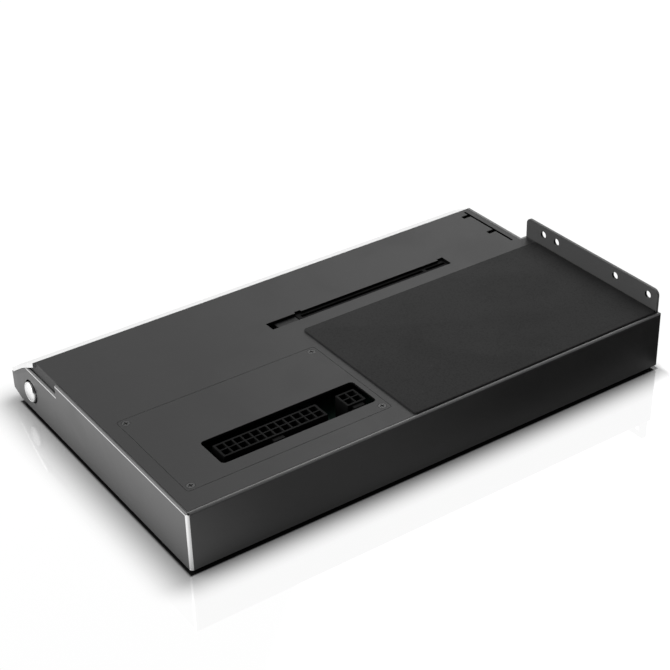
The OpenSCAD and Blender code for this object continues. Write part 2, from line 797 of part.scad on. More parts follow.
module slot_contacts() {
    color([0.85, 0.68, 0.3]) for (s = [-1, 1]) {
        for (i = [0:contact_long - 1])
            one_contact(slot_end_u - slot_l + slot_side + contact_pitch * (i + 1) - contact_pitch / 2, s);
        for (i = [0:contact_short - 1])
            one_contact(slot_end_u - slot_side - contact_pitch * (i + 1) + contact_pitch / 2, s);
    }
}

// The latch lever turns about its pin, away from the slot
module slot_latch() {
    barrel_d = latch_pin_d + 2 * latch_wall;
    lift = latch_h - cheek_h / 2;
    at(latch_u, slot_v, pin_z) rotate([0, latch_open, 0]) color([0.3, 0.3, 0.31]) difference() {
        union() {
            rotate([90, 0, 0]) cylinder(h = latch_w, d = barrel_d, center = true);
            translate([-latch_t / 2, -latch_w / 2, 0]) cube([latch_t, latch_w, lift]);
            // Thumb pad at the top of the lever
            translate([-latch_t / 2, -latch_w / 2, lift - latch_t]) rotate([90, 0, 0]) mirror([0, 0, 1])
                linear_extrude(latch_w) polygon([[0, 0], [latch_t, 0],
                    [latch_pad_l + latch_t / 2, latch_t * latch_pad_share],
                    [latch_pad_l + latch_t / 2, latch_t], [0, latch_t]]);
        }
        rotate([90, 0, 0]) cylinder(h = latch_w * 2, d = latch_pin_d + run_gap, center = true);
    }
}
latch_wall = 0.7;
latch_pad_l = 10;
latch_pad_share = 0.45;

module latch_pin() {
    len = latch_w + 2 * run_gap + 2 * cheek_t;
    color([0.75, 0.75, 0.75]) at(latch_u, slot_v, pin_z) rotate([90, 0, 0])
        cylinder(h = len, d = latch_pin_d, center = true);
}

// A two row power socket with one cavity for each contact
module power_socket(u, cols) {
    len = (cols - 1) * power_pitch + socket_end;
    cell = power_pitch - cell_wall;
    color([0.06, 0.06, 0.06]) difference() {
        union() {
            block(u, socket_v, z_board, len, socket_w, socket_h);
            // Latch lug on the side towards the back wall
            block(u + len / 2 - lug_w / 2, socket_v - lug_t, z_board + socket_h - lug_drop - lug_h, lug_w,
                  lug_t + over, lug_h);
        }
        for (p = pin_places(u, cols)) {
            block(p[0] - cell / 2, p[1] - cell / 2, z_board + socket_floor, cell, cell, socket_h);
            at(p[0], p[1], z_board - over) cylinder(h = socket_floor + 2 * over, d = pin_d + seam);
        }
    }
}
// The places of the contacts of a socket that starts at u
function pin_places(u, cols) = [for (c = [0:cols - 1]) for (r = [-1, 1])
    [u + socket_end / 2 + c * power_pitch, socket_v + socket_w / 2 + r * power_pitch / 2]];
socket_end = 5.4;
cell_wall = 0.7;
socket_floor = 3;
lug_w = 5.4;
lug_t = 2.2;
lug_h = 5;
lug_drop = 0.8;
pin_d = 1.2;
pin_tip = 2;

module socket_pins(u, cols) {
    color([0.8, 0.75, 0.55]) for (p = pin_places(u, cols))
        at(p[0], p[1], z_board) cylinder(h = socket_h - pin_tip, d = pin_d);
}

module main_socket() {
    power_socket(main_u, main_cols);
}

module main_socket_pins() {
    socket_pins(main_u, main_cols);
}

module aux_socket() {
    power_socket(aux_u, aux_cols);
}

module aux_socket_pins() {
    socket_pins(aux_u, aux_cols);
}
aux_cols = 2;

// Edge connector, standoff and screw for a storage card that lies along the board
storage_v = 54.5;
storage_u = 104;
storage_w = card_w;
storage_body_l = 8.7;
storage_h = 4.2;
storage_mouth_h = 1;
storage_mouth_z = 2.1;
storage_mouth_d = 5;
storage_seat = 4;
storage_stand_u = storage_u - card_l + storage_seat;
storage_stand_d = 4.6;
storage_stand_h = 2.5;
storage_thread_d = 3.4;
storage_side = 1.1;
storage_relief = 4.4;
module storage_connector() {
    color([0.08, 0.08, 0.08]) difference() {
        block(storage_u, storage_v - storage_w / 2, z_board, storage_body_l, storage_w, storage_h);
        block(storage_u - over, storage_v - storage_w / 2 + storage_side,
              z_board + storage_mouth_z - storage_mouth_h / 2,
              storage_mouth_d + over, storage_w - 2 * storage_side, storage_mouth_h);
        block(storage_u - over, storage_v - storage_w / 2 + storage_relief,
              z_board + storage_h - storage_side,
              storage_mouth_d, storage_w - 2 * storage_relief, storage_h);
    }
}

storage_contact_n = 20;
module storage_contacts() {
    pitch = storage_row / storage_contact_n;
    color([0.85, 0.68, 0.3]) for (i = [0:storage_contact_n - 1])
        block(storage_u + storage_body_l, storage_v - storage_row / 2 + i * pitch + pitch / 4, z_board,
              storage_leg_l, pitch / 2, contact_t);
}
storage_row = 17.6;
storage_leg_l = 1.4;

module storage_standoff() {
    color([0.72, 0.62, 0.35]) at(storage_stand_u, storage_v, z_board) difference() {
        union() {
            cylinder(h = storage_stand_h, d = storage_stand_d);
            translate([0, 0, -board_t]) cylinder(h = board_t + over, d = storage_thread_d);
        }
        translate([0, 0, -board_t - over])
            cylinder(h = storage_stand_h + board_t + 2 * over, d = panel_screw_d + seam);
    }
}

module storage_screw() {
    color([0.6, 0.6, 0.6]) screw_up(storage_stand_u, storage_v, z_board + storage_stand_h, panel_screw_d,
        storage_stand_h, panel_head_d, panel_head_h * 2);
}

// Bridge chip under a finned heatsink
chip_u = 150;
chip_v = 58;
chip_w = 19;
chip_t = 1.4;
pad_t = 0.8;
sink_w = 30;
sink_base = 2;
fin_n = 9;
fin_t = 1;
fin_h = 4.5;
module bridge_chip() {
    color([0.1, 0.1, 0.11])
        block(chip_u - chip_w / 2, chip_v - chip_w / 2, z_board, chip_w, chip_w, chip_t);
}

module thermal_pad() {
    w = chip_w - 2 * chip_t;
    color([0.55, 0.62, 0.7]) block(chip_u - w / 2, chip_v - w / 2, z_board + chip_t, w, w, pad_t);
}

module heatsink() {
    u = chip_u - sink_w / 2;
    v = chip_v - sink_w / 2;
    z = z_board + chip_t + pad_t;
    fin_pitch = (sink_w - fin_t) / (fin_n - 1);
    color([0.25, 0.25, 0.27]) {
        block(u, v, z, sink_w, sink_w, sink_base);
        for (i = [0:fin_n - 1])
            block(u + i * fin_pitch, v, z + sink_base - over, fin_t, sink_w, fin_h + over);
    }
}

cap_d = 6.3;
cap_h = 7.7;
cap_rim = 0.45;
cap_groove_z = 1.35;
// Places on the board, from the button end and from the back wall
cap_places = [[117.8, 23.3], [128, 23.3], [138.2, 23.3], [117.8, 90.4], [178, 85], [188, 85]];
coil_places = [[128, 37], [143.4, 37], [184.3, 43.8]];
coil_w = 10;
coil_h = 5;
coil_r = 1.25;
fet_places = [[118, 49.3], [128, 49.3], [158.7, 23.3], [172, 57.5], [184.3, 57.5]];
fet_w = 5;
fet_l = 6;
fet_h = 1.1;
chip_places = [[176, 69.5], [188, 69.5], [76.8, 84.9], [176, 30]];
small_w = 7;
small_h = 1;
module bulk_capacitors() {
    r = cap_d / 2;
    color([0.7, 0.7, 0.72]) for (p = cap_places) at(p[0], p[1], z_board) rotate_extrude()
        polygon([[0, 0], [r, 0], [r, cap_groove_z - cap_rim], [r - cap_rim, cap_groove_z],
                 [r, cap_groove_z + cap_rim], [r, cap_h - cap_rim], [r - cap_rim, cap_h], [0, cap_h]]);
}

module power_inductors() {
    color([0.32, 0.32, 0.33]) for (p = coil_places)
        round_plate(p[0] - coil_w / 2, p[1] - coil_w / 2, z_board, coil_w, coil_w, coil_h, coil_r);
}

module power_transistors() {
    color([0.1, 0.1, 0.1]) for (p = fet_places)
        block(p[0] - fet_l / 2, p[1] - fet_w / 2, z_board, fet_l, fet_w, fet_h);
}

module support_chips() {
    color([0.1, 0.1, 0.1]) for (p = chip_places)
        block(p[0] - small_w / 2, p[1] - small_w / 2, z_board, small_w, small_w, small_h);
}

// Metal shells and tongues of the two host ports, flush with the end wall
port_sheet = 0.4;
port_inset = 0.6;
port_u1 = body_l - port_inset;
port_back_t = 1.2;
tongue_gap = 1.2;
port_l = 18;
link_tongue_t = 1.2;
usb_tongue_t = 0.7;
module rounded_bar(u, len, v, z, w, h, r) {
    along_x(u, len) {
        translate([py(v) - w / 2 + r, z - h / 2]) square([w - 2 * r, h]);
        translate([py(v) - w / 2, z - h / 2 + r]) square([w, h - 2 * r]);
        for (a = [-1, 1]) for (b = [-1, 1])
            translate([py(v) + a * (w / 2 - r), z + b * (h / 2 - r)]) circle(r, $fn = 32);
    }
}

module port_shell(v, z, w, h, r) {
    u0 = port_u1 - port_l;
    color([0.75, 0.75, 0.76]) difference() {
        rounded_bar(u0, port_l, v, z, w, h, r);
        rounded_bar(u0 + port_back_t, port_l, v, z, w - 2 * port_sheet, h - 2 * port_sheet, r - port_sheet);
    }
}

module link_shell() {
    port_shell(link_v, link_z, link_w, link_h, port_r);
}

module link_tongue() {
    w = link_w - 2 * tongue_gap;
    color([0.1, 0.1, 0.1]) block(port_u1 - port_l + port_back_t, link_v - w / 2, link_z - link_tongue_t / 2,
        port_l * port_depth_share, w, link_tongue_t);
}
port_depth_share = 0.8;

module usb_shell() {
    port_shell(usb_v, usb_z, usb_w, usb_h, usb_h / 2 - seam);
}

module usb_tongue() {
    w = usb_w - 2 * tongue_gap;
    color([0.1, 0.1, 0.1]) block(port_u1 - port_l + port_back_t, usb_v - w / 2, usb_z - usb_tongue_t / 2,
        port_l * port_depth_share, w, usb_tongue_t);
}

// The power button: a domed cap with a stem, guided behind the wall
cap_flange_d = button_hole_d + 2;
cap_flange_t = 1;
cap_edge = 1.2;
stem_d = 4;
spring_room = 2.4;
guide_u = wall_t + run_gap + cap_flange_t + button_travel + spring_room;
guide_t = 2.4;
guide_screw_d = 2;
guide_post_d = 5;
guide_post_l = guide_u - wall_t;
guide_screw_v = [button_v - guide_w / 2 + guide_post_d / 2, button_v + guide_w / 2 - guide_post_d / 2];
stem_reach = 0.6;
stem_end_u = guide_u + guide_t + stem_reach;
module button_cap() {
    u1 = wall_t + run_gap;
    r = button_d / 2;
    color([0.85, 0.85, 0.85]) {
        at(u1, button_v, button_z) rotate([0, 90, 0]) rotate_extrude() polygon(concat(
            [[0, -over], [r, -over]],
            arc([r - cap_edge, u1 + button_proud - cap_edge], cap_edge, 0, 90, edge_steps),
            [[r * cap_dish_share, u1 + button_proud - cap_edge * cap_dish_drop_share],
             [0, u1 + button_proud - cap_edge * cap_dish_drop_share]]));
        rod_x(u1, button_v, button_z, cap_flange_t, cap_flange_d);
        rod_x(u1 + cap_flange_t - over, button_v, button_z, stem_end_u - u1 - cap_flange_t + over, stem_d);
    }
}
cap_dish_share = 0.62;
cap_dish_drop_share = 0.25;

module button_guide() {
    color([0.12, 0.12, 0.12]) difference() {
        block(guide_u, button_v - guide_w / 2, button_z - guide_hgt / 2, guide_t, guide_w, guide_hgt);
        rod_x(guide_u - over, button_v, button_z, guide_t + 2 * over, stem_d + 2 * run_gap);
        for (v = guide_screw_v)
            rod_x(guide_u - over, v, button_z, guide_t + 2 * over, guide_screw_d + hole_gap);
    }
}

spring_wire = 0.45;
spring_d = stem_d + 2 * run_gap + spring_wire * 2;
spring_turns = 3;
spring_steps = 16;
spring_sides = 6;
module button_spring() {
    u0 = wall_t + run_gap + cap_flange_t + spring_wire / 2;
    len = guide_u - u0 - spring_wire / 2;
    n = spring_turns * spring_steps;
    rings = [for (i = [0:n]) [for (k = [0:spring_sides - 1])
        let (a = 360 * i / spring_steps, b = 360 * k / spring_sides,
             q = spring_d / 2 + spring_wire / 2 * cos(b), x = px(u0 + len * i / n))
        [x + spring_wire / 2 * sin(b), py(button_v) + q * cos(a), button_z + q * sin(a)]]];
    pts = [for (g = rings) for (p = g) p];
    sides = [for (i = [0:n - 1]) for (k = [0:spring_sides - 1])
        let (a = i * spring_sides + k, b = i * spring_sides + (k + 1) % spring_sides) each
        [[a, b + spring_sides, b], [a, a + spring_sides, b + spring_sides]]];
    ends = [for (k = [1:spring_sides - 2]) each
        [[0, k, k + 1], [n * spring_sides, n * spring_sides + k + 1, n * spring_sides + k]]];
    color([0.7, 0.7, 0.7]) polyhedron(pts, concat(sides, ends));
}

// The small switch and its own board behind the guide
switch_w = 6;
switch_t = 3.4;
plunger_d = 3.4;
plunger_t = 0.8;
switch_u = stem_end_u + button_travel + run_gap;
board_small_t = 1.2;
module button_switch() {
    color([0.15, 0.15, 0.16]) {
        rod_x(switch_u, button_v, button_z, plunger_t + over, plunger_d);
        block(switch_u + plunger_t, button_v - switch_w / 2, button_z - switch_w / 2, switch_t, switch_w,
              switch_w);
    }
}

module button_board() {
    u = switch_u + plunger_t + switch_t;
    color([0.05, 0.12, 0.08]) difference() {
        block(u, button_v - guide_w / 2, button_z - guide_hgt / 2, board_small_t, guide_w, guide_hgt);
        for (v = guide_screw_v)
            rod_x(u - over, v, button_z, board_small_t + 2 * over, guide_screw_d + hole_gap);
    }
}

// Each guide screw holds the guide, a spacer sleeve and the small board
module guide_screws() {
    u = switch_u + plunger_t + switch_t;
    color([0.6, 0.6, 0.6]) for (v = guide_screw_v) {
        rod_x(wall_t + seam, v, button_z, u + board_small_t - wall_t - seam, guide_screw_d - seam);
        rod_x(u + board_small_t, v, button_z, fascia_head_h, fascia_head_d);
        rod_x(guide_u + guide_t, v, button_z, u - guide_u - guide_t, guide_post_d - seam);
    }
}

// A two core lead from the small board to a plug on the main board
lead_d = 1.6;
lead_u = switch_u + plunger_t + switch_t + board_small_t;
lead_bend = 5;
lead_in = 3;
lead_v1 = board_v + board_w - lead_in;
// Depth of the lead under the main board
lead_drop = 3.4;
lead_z = z_board - board_t - lead_drop;
module button_lead() {
    u1 = lead_u + lead_run;
    color([0.12, 0.12, 0.12]) {
        rod_x(lead_u, button_v, lead_z, lead_run, lead_d);
        // Bend towards the back, under the board edge
        at(u1, button_v - lead_bend, lead_z) mirror([1, 0, 0]) rotate([0, 0, -90])
            rotate_extrude(angle = 90) translate([lead_bend, 0]) circle(d = lead_d, $fn = 24);
        at(u1 + lead_bend, button_v - lead_bend, lead_z) rotate([-90, 0, 0])
            cylinder(h = button_v - lead_bend - lead_v1, d = lead_d);
    }
}
lead_run = 5;
plug_w = 6;
plug_l = 7.6;
plug_lift = 6;
plug_low = z_floor + plug_lift;
plug_h = z_board - board_t - plug_low;
module lead_plug() {
    u = lead_u + lead_run + lead_bend;
    color([0.85, 0.83, 0.78]) block(u - plug_w / 2, lead_v1 - plug_l, plug_low, plug_w, plug_l, plug_h);
}

housing_frame();
base_plate();
rubber_feet();
top_cover();
front_fascia();
socket_panel();
panel_screws();
panel_nuts();
supply_mat();
case_screws();
fascia_screws();
main_board();
board_standoffs();
board_screws();
slot_housing();
slot_contacts();
slot_latch();
latch_pin();
main_socket();
main_socket_pins();
aux_socket();
aux_socket_pins();
storage_connector();
storage_contacts();
storage_standoff();
storage_screw();
bridge_chip();
thermal_pad();
heatsink();
bulk_capacitors();
power_inductors();
power_transistors();
support_chips();
link_shell();
link_tongue();
usb_shell();
usb_tongue();
button_cap();
button_guide();
button_spring();
button_switch();
button_board();
guide_screws();
button_lead();
lead_plug();
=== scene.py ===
import math

import bmesh
import bpy
from mathutils import Matrix, Vector


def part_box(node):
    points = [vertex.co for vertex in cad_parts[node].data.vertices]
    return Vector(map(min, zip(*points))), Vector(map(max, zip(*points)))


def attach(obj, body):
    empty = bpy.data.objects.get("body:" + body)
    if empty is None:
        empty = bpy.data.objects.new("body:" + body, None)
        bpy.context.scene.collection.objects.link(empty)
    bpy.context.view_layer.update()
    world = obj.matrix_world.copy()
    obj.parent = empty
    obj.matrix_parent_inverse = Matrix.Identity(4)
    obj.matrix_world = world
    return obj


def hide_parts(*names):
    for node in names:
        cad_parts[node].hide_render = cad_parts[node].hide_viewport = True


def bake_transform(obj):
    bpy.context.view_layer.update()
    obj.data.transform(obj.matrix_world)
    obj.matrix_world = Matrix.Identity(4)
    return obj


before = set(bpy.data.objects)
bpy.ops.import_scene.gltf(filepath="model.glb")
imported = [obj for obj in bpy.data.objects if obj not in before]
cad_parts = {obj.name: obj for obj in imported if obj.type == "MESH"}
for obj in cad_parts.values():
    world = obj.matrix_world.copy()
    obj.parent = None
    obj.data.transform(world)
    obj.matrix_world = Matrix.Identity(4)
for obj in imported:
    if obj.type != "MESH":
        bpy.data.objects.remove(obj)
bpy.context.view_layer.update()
MM = 0.001

# Places are given as u, from the button end, and v, from the back wall, both in millimetres
housing_low, housing_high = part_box("housing_frame")
board_low, board_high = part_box("main_board")
BUTTON_END_X = housing_high.x
BACK_WALL_Y = housing_high.y
BOARD_TOP = board_high.z
BOARD_UNDER = board_low.z
COVER_TOP = 0.0306
# The step in the end wall beside the flange, and how far the nose reaches over its foot
END_STEP, END_STEP_V = 4.7, 95.5
NOSE_FOOT = 7.3


def at(u, v, z):
    """A point from millimetres along the part and a height in metres."""
    return Vector((BUTTON_END_X - u * MM, BACK_WALL_Y - v * MM, z))


# Camera ---------------------------------------------------------------------------------------

CAMERA_PLACE = Vector((0.360476, 0.535787, 0.423706))
CAMERA_RIGHT = Vector((-0.82138, 0.56991, -0.02319))
CAMERA_FORWARD = Vector((-0.47532, -0.70639, -0.52448))
CAMERA_LENS = 87.768
SENSOR_WIDTH = 36


def make_camera():
    data = bpy.data.cameras.new("camera")
    data.lens = CAMERA_LENS
    data.sensor_width = SENSOR_WIDTH
    camera = bpy.data.objects.new("camera", data)
    bpy.context.scene.collection.objects.link(camera)
    back = -CAMERA_FORWARD.normalized()
    up = back.cross(CAMERA_RIGHT).normalized()
    turn = Matrix((up.cross(back), up, back)).transposed()
    camera.matrix_world = Matrix.Translation(CAMERA_PLACE) @ turn.to_4x4()
    bpy.context.scene.camera = camera


# Node helpers ---------------------------------------------------------------------------------

def node(tree, kind, inputs=None, **settings):
    """Adds a node. An input takes a value, or another node's output to link to."""
    made = tree.nodes.new(kind)
    for name, value in settings.items():
        setattr(made, name, value)
    for name, value in (inputs or {}).items():
        if isinstance(value, bpy.types.NodeSocket):
            tree.links.new(value, made.inputs[name])
        else:
            made.inputs[name].default_value = value
    return made


def calc(tree, operation, *values):
    """One step of arithmetic on values or on other nodes' outputs."""
    return node(tree, "ShaderNodeMath", dict(enumerate(values)), operation=operation).outputs[0]


def times(tree, a, b):
    return calc(tree, "MULTIPLY", a, b)


def minus(tree, a, b):
    return calc(tree, "SUBTRACT", a, b)


def larger(tree, a, b):
    return calc(tree, "MAXIMUM", a, b)


def spread(tree, value, low, high, to_low=0.0, to_high=1.0):
    """Maps the range low to high onto another range, with soft ends."""
    return node(tree, "ShaderNodeMapRange", {
        "Value": value, "From Min": low, "From Max": high, "To Min": to_low, "To Max": to_high},
                interpolation_type="SMOOTHSTEP").outputs[0]


def blend_colours(tree, share, a, b):
    """Goes from colour a to colour b by a share."""
    made = node(tree, "ShaderNodeMix", data_type="RGBA")
    for name, value in (("Factor", share), ("A", a), ("B", b)):
        socket = next(s for s in made.inputs if s.name == name and s.enabled)
        if isinstance(value, bpy.types.NodeSocket):
            tree.links.new(value, socket)
        else:
            socket.default_value = value
    return next(s for s in made.outputs if s.enabled)


def new_group(kind, name, inputs, outputs):
    """An empty node group with named inputs and outputs, and its two end nodes' sockets."""
    group = bpy.data.node_groups.new(name, kind)
    for label, socket_type, value in inputs:
        socket = group.interface.new_socket(label, in_out="INPUT", socket_type=socket_type)
        if value is not None:
            socket.default_value = value
    for label, socket_type in outputs:
        group.interface.new_socket(label, in_out="OUTPUT", socket_type=socket_type)
    inside = group.nodes.new("NodeGroupInput").outputs
    return group, inside, group.nodes.new("NodeGroupOutput").inputs


def place_group(tree, group, **inputs):
    """Places a shared group with its own values, and returns its outputs."""
    made = tree.nodes.new("ShaderNodeGroup")
    made.node_tree = group
    for name, value in inputs.items():
        socket = made.inputs[name.replace("_", " ").capitalize()]
        if isinstance(value, bpy.types.NodeSocket):
            tree.links.new(value, socket)
        else:
            socket.default_value = value
    return made.outputs


FLOAT, VECTOR = "NodeSocketFloat", "NodeSocketVector"


def object_coordinates(tree):
    return node(tree, "ShaderNodeTexCoord").outputs["Object"]


def place_axes(tree):
    """The object coordinates as X, Y and Z."""
    return node(tree, "ShaderNodeSeparateXYZ", {"Vector": object_coordinates(tree)}).outputs


def facing_axes(tree):
    """How far the surface faces along X, Y and Z, whichever way."""
    normal = node(tree, "ShaderNodeNewGeometry").outputs["Normal"]
    size = node(tree, "ShaderNodeVectorMath", {0: normal}, operation="ABSOLUTE").outputs[0]
    return node(tree, "ShaderNodeSeparateXYZ", {"Vector": size}).outputs


# Effects that several finishes share ----------------------------------------------------------

def make_grain_group():
    """Fine grain, and broad patches for the tone. Sizes are counts for each metre."""
    group, inputs, outputs = new_group("ShaderNodeTree", "surface_grain", [
        ("Grains", FLOAT, 3000.0), ("Patches", FLOAT, 30.0)],
        [("Height", FLOAT), ("Patch", FLOAT)])
    here = object_coordinates(group)
    fine = node(group, "ShaderNodeTexNoise",
                {"Vector": here, "Scale": inputs["Grains"], "Detail": 3.0})
    broad = node(group, "ShaderNodeTexNoise",
                 {"Vector": here, "Scale": inputs["Patches"], "Detail": 4.0})
    group.links.new(fine.outputs["Fac"], outputs["Height"])
    group.links.new(spread(group, broad.outputs["Fac"], 0.3, 0.7), outputs["Patch"])
    return group


def make_handling_group():
    """Faint finger marks on the gloss, and dust on the faces that look up."""
    group, inputs, outputs = new_group("ShaderNodeTree", "handling_marks", [
        ("Marks", FLOAT, 22.0), ("Specks", FLOAT, 700.0)],
        [("Smudge", FLOAT), ("Dust", FLOAT)])
    here = object_coordinates(group)
    warp = node(group, "ShaderNodeTexNoise", {
        "Vector": here, "Scale": inputs["Marks"], "Detail": 5.0, "Distortion": 1.2})
    specks = node(group, "ShaderNodeTexVoronoi", {"Vector": here, "Scale": inputs["Specks"]})
    near = spread(group, specks.outputs["Distance"], 0.16, 0.04)
    rare = node(group, "ShaderNodeSeparateColor", {"Color": specks.outputs["Color"]})
    some = spread(group, rare.outputs[0], 0.86, 0.92)
    normal = node(group, "ShaderNodeSeparateXYZ",
                  {"Vector": node(group, "ShaderNodeNewGeometry").outputs["Normal"]})
    upward = spread(group, normal.outputs["Z"], 0.3, 0.9)
    group.links.new(spread(group, warp.outputs["Fac"], 0.42, 0.68), outputs["Smudge"])
    group.links.new(times(group, times(group, near, some), upward), outputs["Dust"])
    return group


def make_edge_group():
    """Softens sharp edges in the shading, and finds where they rub."""
    group, inputs, outputs = new_group("ShaderNodeTree", "edge_wear", [
        ("Radius", FLOAT, 0.0003), ("Breaks", FLOAT, 220.0)],
        [("Normal", VECTOR), ("Wear", FLOAT)])
    soft = node(group, "ShaderNodeBevel", {"Radius": inputs["Radius"]}, samples=4)
    hard = node(group, "ShaderNodeNewGeometry").outputs["Normal"]
    dot = node(group, "ShaderNodeVectorMath", {0: soft.outputs["Normal"], 1: hard},
               operation="DOT_PRODUCT").outputs["Value"]
    breaks = node(group, "ShaderNodeTexNoise", {"Vector": object_coordinates(group),
                                                "Scale": inputs["Breaks"], "Detail": 4.0})
    turned = spread(group, dot, 0.995, 0.88)
    worn = times(group, turned, spread(group, breaks.outputs["Fac"], 0.35, 0.62))
    group.links.new(soft.outputs["Normal"], outputs["Normal"])
    group.links.new(worn, outputs["Wear"])
    return group


def make_brushed_group():
    """Fine lines along one axis: the axis with the smallest count."""
    group, inputs, outputs = new_group("ShaderNodeTree", "brushed_lines", [
        ("Counts", VECTOR, (30.0, 3000.0, 3000.0))], [("Height", FLOAT), ("Tone", FLOAT)])
    here = node(group, "ShaderNodeMapping", {"Vector": object_coordinates(group),
                                             "Scale": inputs["Counts"]}).outputs[0]
    lines = node(group, "ShaderNodeTexNoise", {"Vector": here, "Scale": 1.0, "Detail": 3.0})
    wide = node(group, "ShaderNodeTexNoise", {"Vector": here, "Scale": 0.12, "Detail": 2.0})
    group.links.new(lines.outputs["Fac"], outputs["Height"])
    group.links.new(spread(group, wide.outputs["Fac"], 0.3, 0.7), outputs["Tone"])
    return group


def make_pebble_group():
    """Rounded pebbles of moulded rubber and powder coat, with a mask for painted shade in the pits
    between them.
    """
    group, inputs, outputs = new_group("ShaderNodeTree", "moulded_pebbles", [
        ("Pebbles", FLOAT, 1200.0)], [("Height", FLOAT), ("Pit shade", FLOAT)])
    cells = node(group, "ShaderNodeTexVoronoi", {"Vector": object_coordinates(group),
                                                 "Scale": inputs["Pebbles"], "Smoothness": 0.6},
                 feature="SMOOTH_F1")
    group.links.new(spread(group, cells.outputs["Distance"], 0.75, 0.0), outputs["Height"])
    group.links.new(spread(group, cells.outputs["Distance"], 0.45, 0.75), outputs["Pit shade"])
    return group


def make_turned_group():
    """Rings left by turning, about a line along X through Centre."""
    group, inputs, outputs = new_group("ShaderNodeTree", "turned_rings", [
        ("Centre", VECTOR, (0.0, 0.0, 0.0)), ("Rings", FLOAT, 6000.0)], [("Height", FLOAT)])
    here = object_coordinates(group)
    offset = node(group, "ShaderNodeVectorMath", {0: here, 1: inputs["Centre"]},
                  operation="SUBTRACT").outputs[0]
    flat = node(group, "ShaderNodeVectorMath", {0: offset, 1: (0.0, 1.0, 1.0)},
                operation="MULTIPLY").outputs[0]
    radius = node(group, "ShaderNodeVectorMath", {0: flat}, operation="LENGTH").outputs["Value"]
    wave = calc(group, "SINE", times(group, radius, inputs["Rings"]))
    group.links.new(calc(group, "MULTIPLY_ADD", wave, 0.5, 0.5), outputs["Height"])
    return group


def make_trace_group():
    """Copper traces and vias under the lacquer of a circuit board."""
    group, inputs, outputs = new_group("ShaderNodeTree", "board_traces", [
        ("Pitch", FLOAT, 0.0011), ("Areas", FLOAT, 70.0)],
        [("Trace", FLOAT), ("Via", FLOAT)])
    here = object_coordinates(group)
    axes = node(group, "ShaderNodeSeparateXYZ", {"Vector": here})
    area = node(group, "ShaderNodeTexVoronoi", {"Vector": here, "Scale": inputs["Areas"]},
                distance="CHEBYCHEV")
    pick = node(group, "ShaderNodeSeparateColor", {"Color": area.outputs["Color"]})
    strips = []
    for axis in ("X", "Y"):
        count = calc(group, "DIVIDE", axes.outputs[axis], inputs["Pitch"])
        part = calc(group, "ABSOLUTE", minus(group, calc(group, "FRACT", count), 0.5))
        strips.append(spread(group, part, 0.2, 0.16))
    along_x = spread(group, pick.outputs[0], 0.5, 0.51)
    crossed = times(group, strips[0], along_x)
    other = times(group, strips[1], minus(group, 1.0, along_x))
    laid = spread(group, pick.outputs[1], 0.3, 0.32)
    dots = node(group, "ShaderNodeTexVoronoi", {
        "Vector": here, "Scale": calc(group, "DIVIDE", 0.45, inputs["Pitch"]), "Randomness": 0.0})
    kept = node(group, "ShaderNodeTexWhiteNoise", {"Vector": dots.outputs["Position"]})
    via = times(group, spread(group, dots.outputs["Distance"], 0.15, 0.12),
                spread(group, kept.outputs["Value"], 0.9, 0.91))
    either = calc(group, "ADD", crossed, other)
    group.links.new(times(group, either, laid), outputs["Trace"])
    group.links.new(via, outputs["Via"])
    return group


GRAIN = make_grain_group()
HANDLING = make_handling_group()
EDGES = make_edge_group()
BRUSHED = make_brushed_group()
PEBBLES = make_pebble_group()
TURNED = make_turned_group()
TRACES = make_trace_group()

# Finishes -------------------------------------------------------------------------------------

FINISHES = {}


def grey(level):
    return (level, level, level, 1.0)


def tint(colour, factor):
    return tuple(c * factor for c in colour[:3]) + (1.0,)


DUST_COLOUR = grey(0.14)


class Finish:
    """One material under construction: its tree, its Principled shader and its edge masks."""

    def __init__(self, slot, colour, roughness, metallic=0.0, edge_radius=0.00025, **uniform):
        material = bpy.data.materials.new(slot)
        material.use_nodes = True
        material.diffuse_color = colour
        FINISHES[slot] = material
        self.tree = material.node_tree
        self.shader = next(n for n in self.tree.nodes if n.type == "BSDF_PRINCIPLED")
        self.colour = self.colour_now = colour
        self.roughness = roughness
        self.shader.inputs["Metallic"].default_value = metallic
        for name, value in uniform.items():
            label = name.replace("_", " ").title().replace("Ior", "IOR")
            self.shader.inputs[label].default_value = value
        self.edges = place_group(self.tree, EDGES, radius=edge_radius)
        self.handling = place_group(self.tree, HANDLING)

    def cover(self, mask, colour):
        """Lays a colour over what is there, by a mask."""
        self.colour_now = blend_colours(self.tree, mask, self.colour_now, colour)

    def tone(self, patch, share, light=1.35, dark=0.75):
        """Varies the colour over the surface by a mask."""
        varied = blend_colours(self.tree, patch, tint(self.colour, dark), tint(self.colour, light))
        self.colour_now = blend_colours(self.tree, share, self.colour, varied)

    def wear(self, share, bare):
        """Shows a lighter tone where the edges rub."""
        self.cover(times(self.tree, self.edges["Wear"], share), bare)

    def dust(self, share):
        self.cover(times(self.tree, self.handling["Dust"], share), DUST_COLOUR)

    def gloss(self, patch, grain_share, smudge_share):
        """Varies the roughness by a mask and by finger marks."""
        smoothest = self.roughness - grain_share / 2
        grain = calc(self.tree, "MULTIPLY_ADD", patch, grain_share, smoothest)
        marked = calc(self.tree, "MULTIPLY_ADD", self.handling["Smudge"], smudge_share, grain)
        self.tree.links.new(marked, self.shader.inputs["Roughness"])

    def relief(self, height, depth):
        """Raises the surface by a height mask, over the softened edges."""
        bump = node(self.tree, "ShaderNodeBump", {"Height": height, "Distance": depth,
                                                  "Normal": self.edges["Normal"]})
        self.tree.links.new(bump.outputs["Normal"], self.shader.inputs["Normal"])

    def done(self):
        self.tree.links.new(self.colour_now, self.shader.inputs["Base Color"])


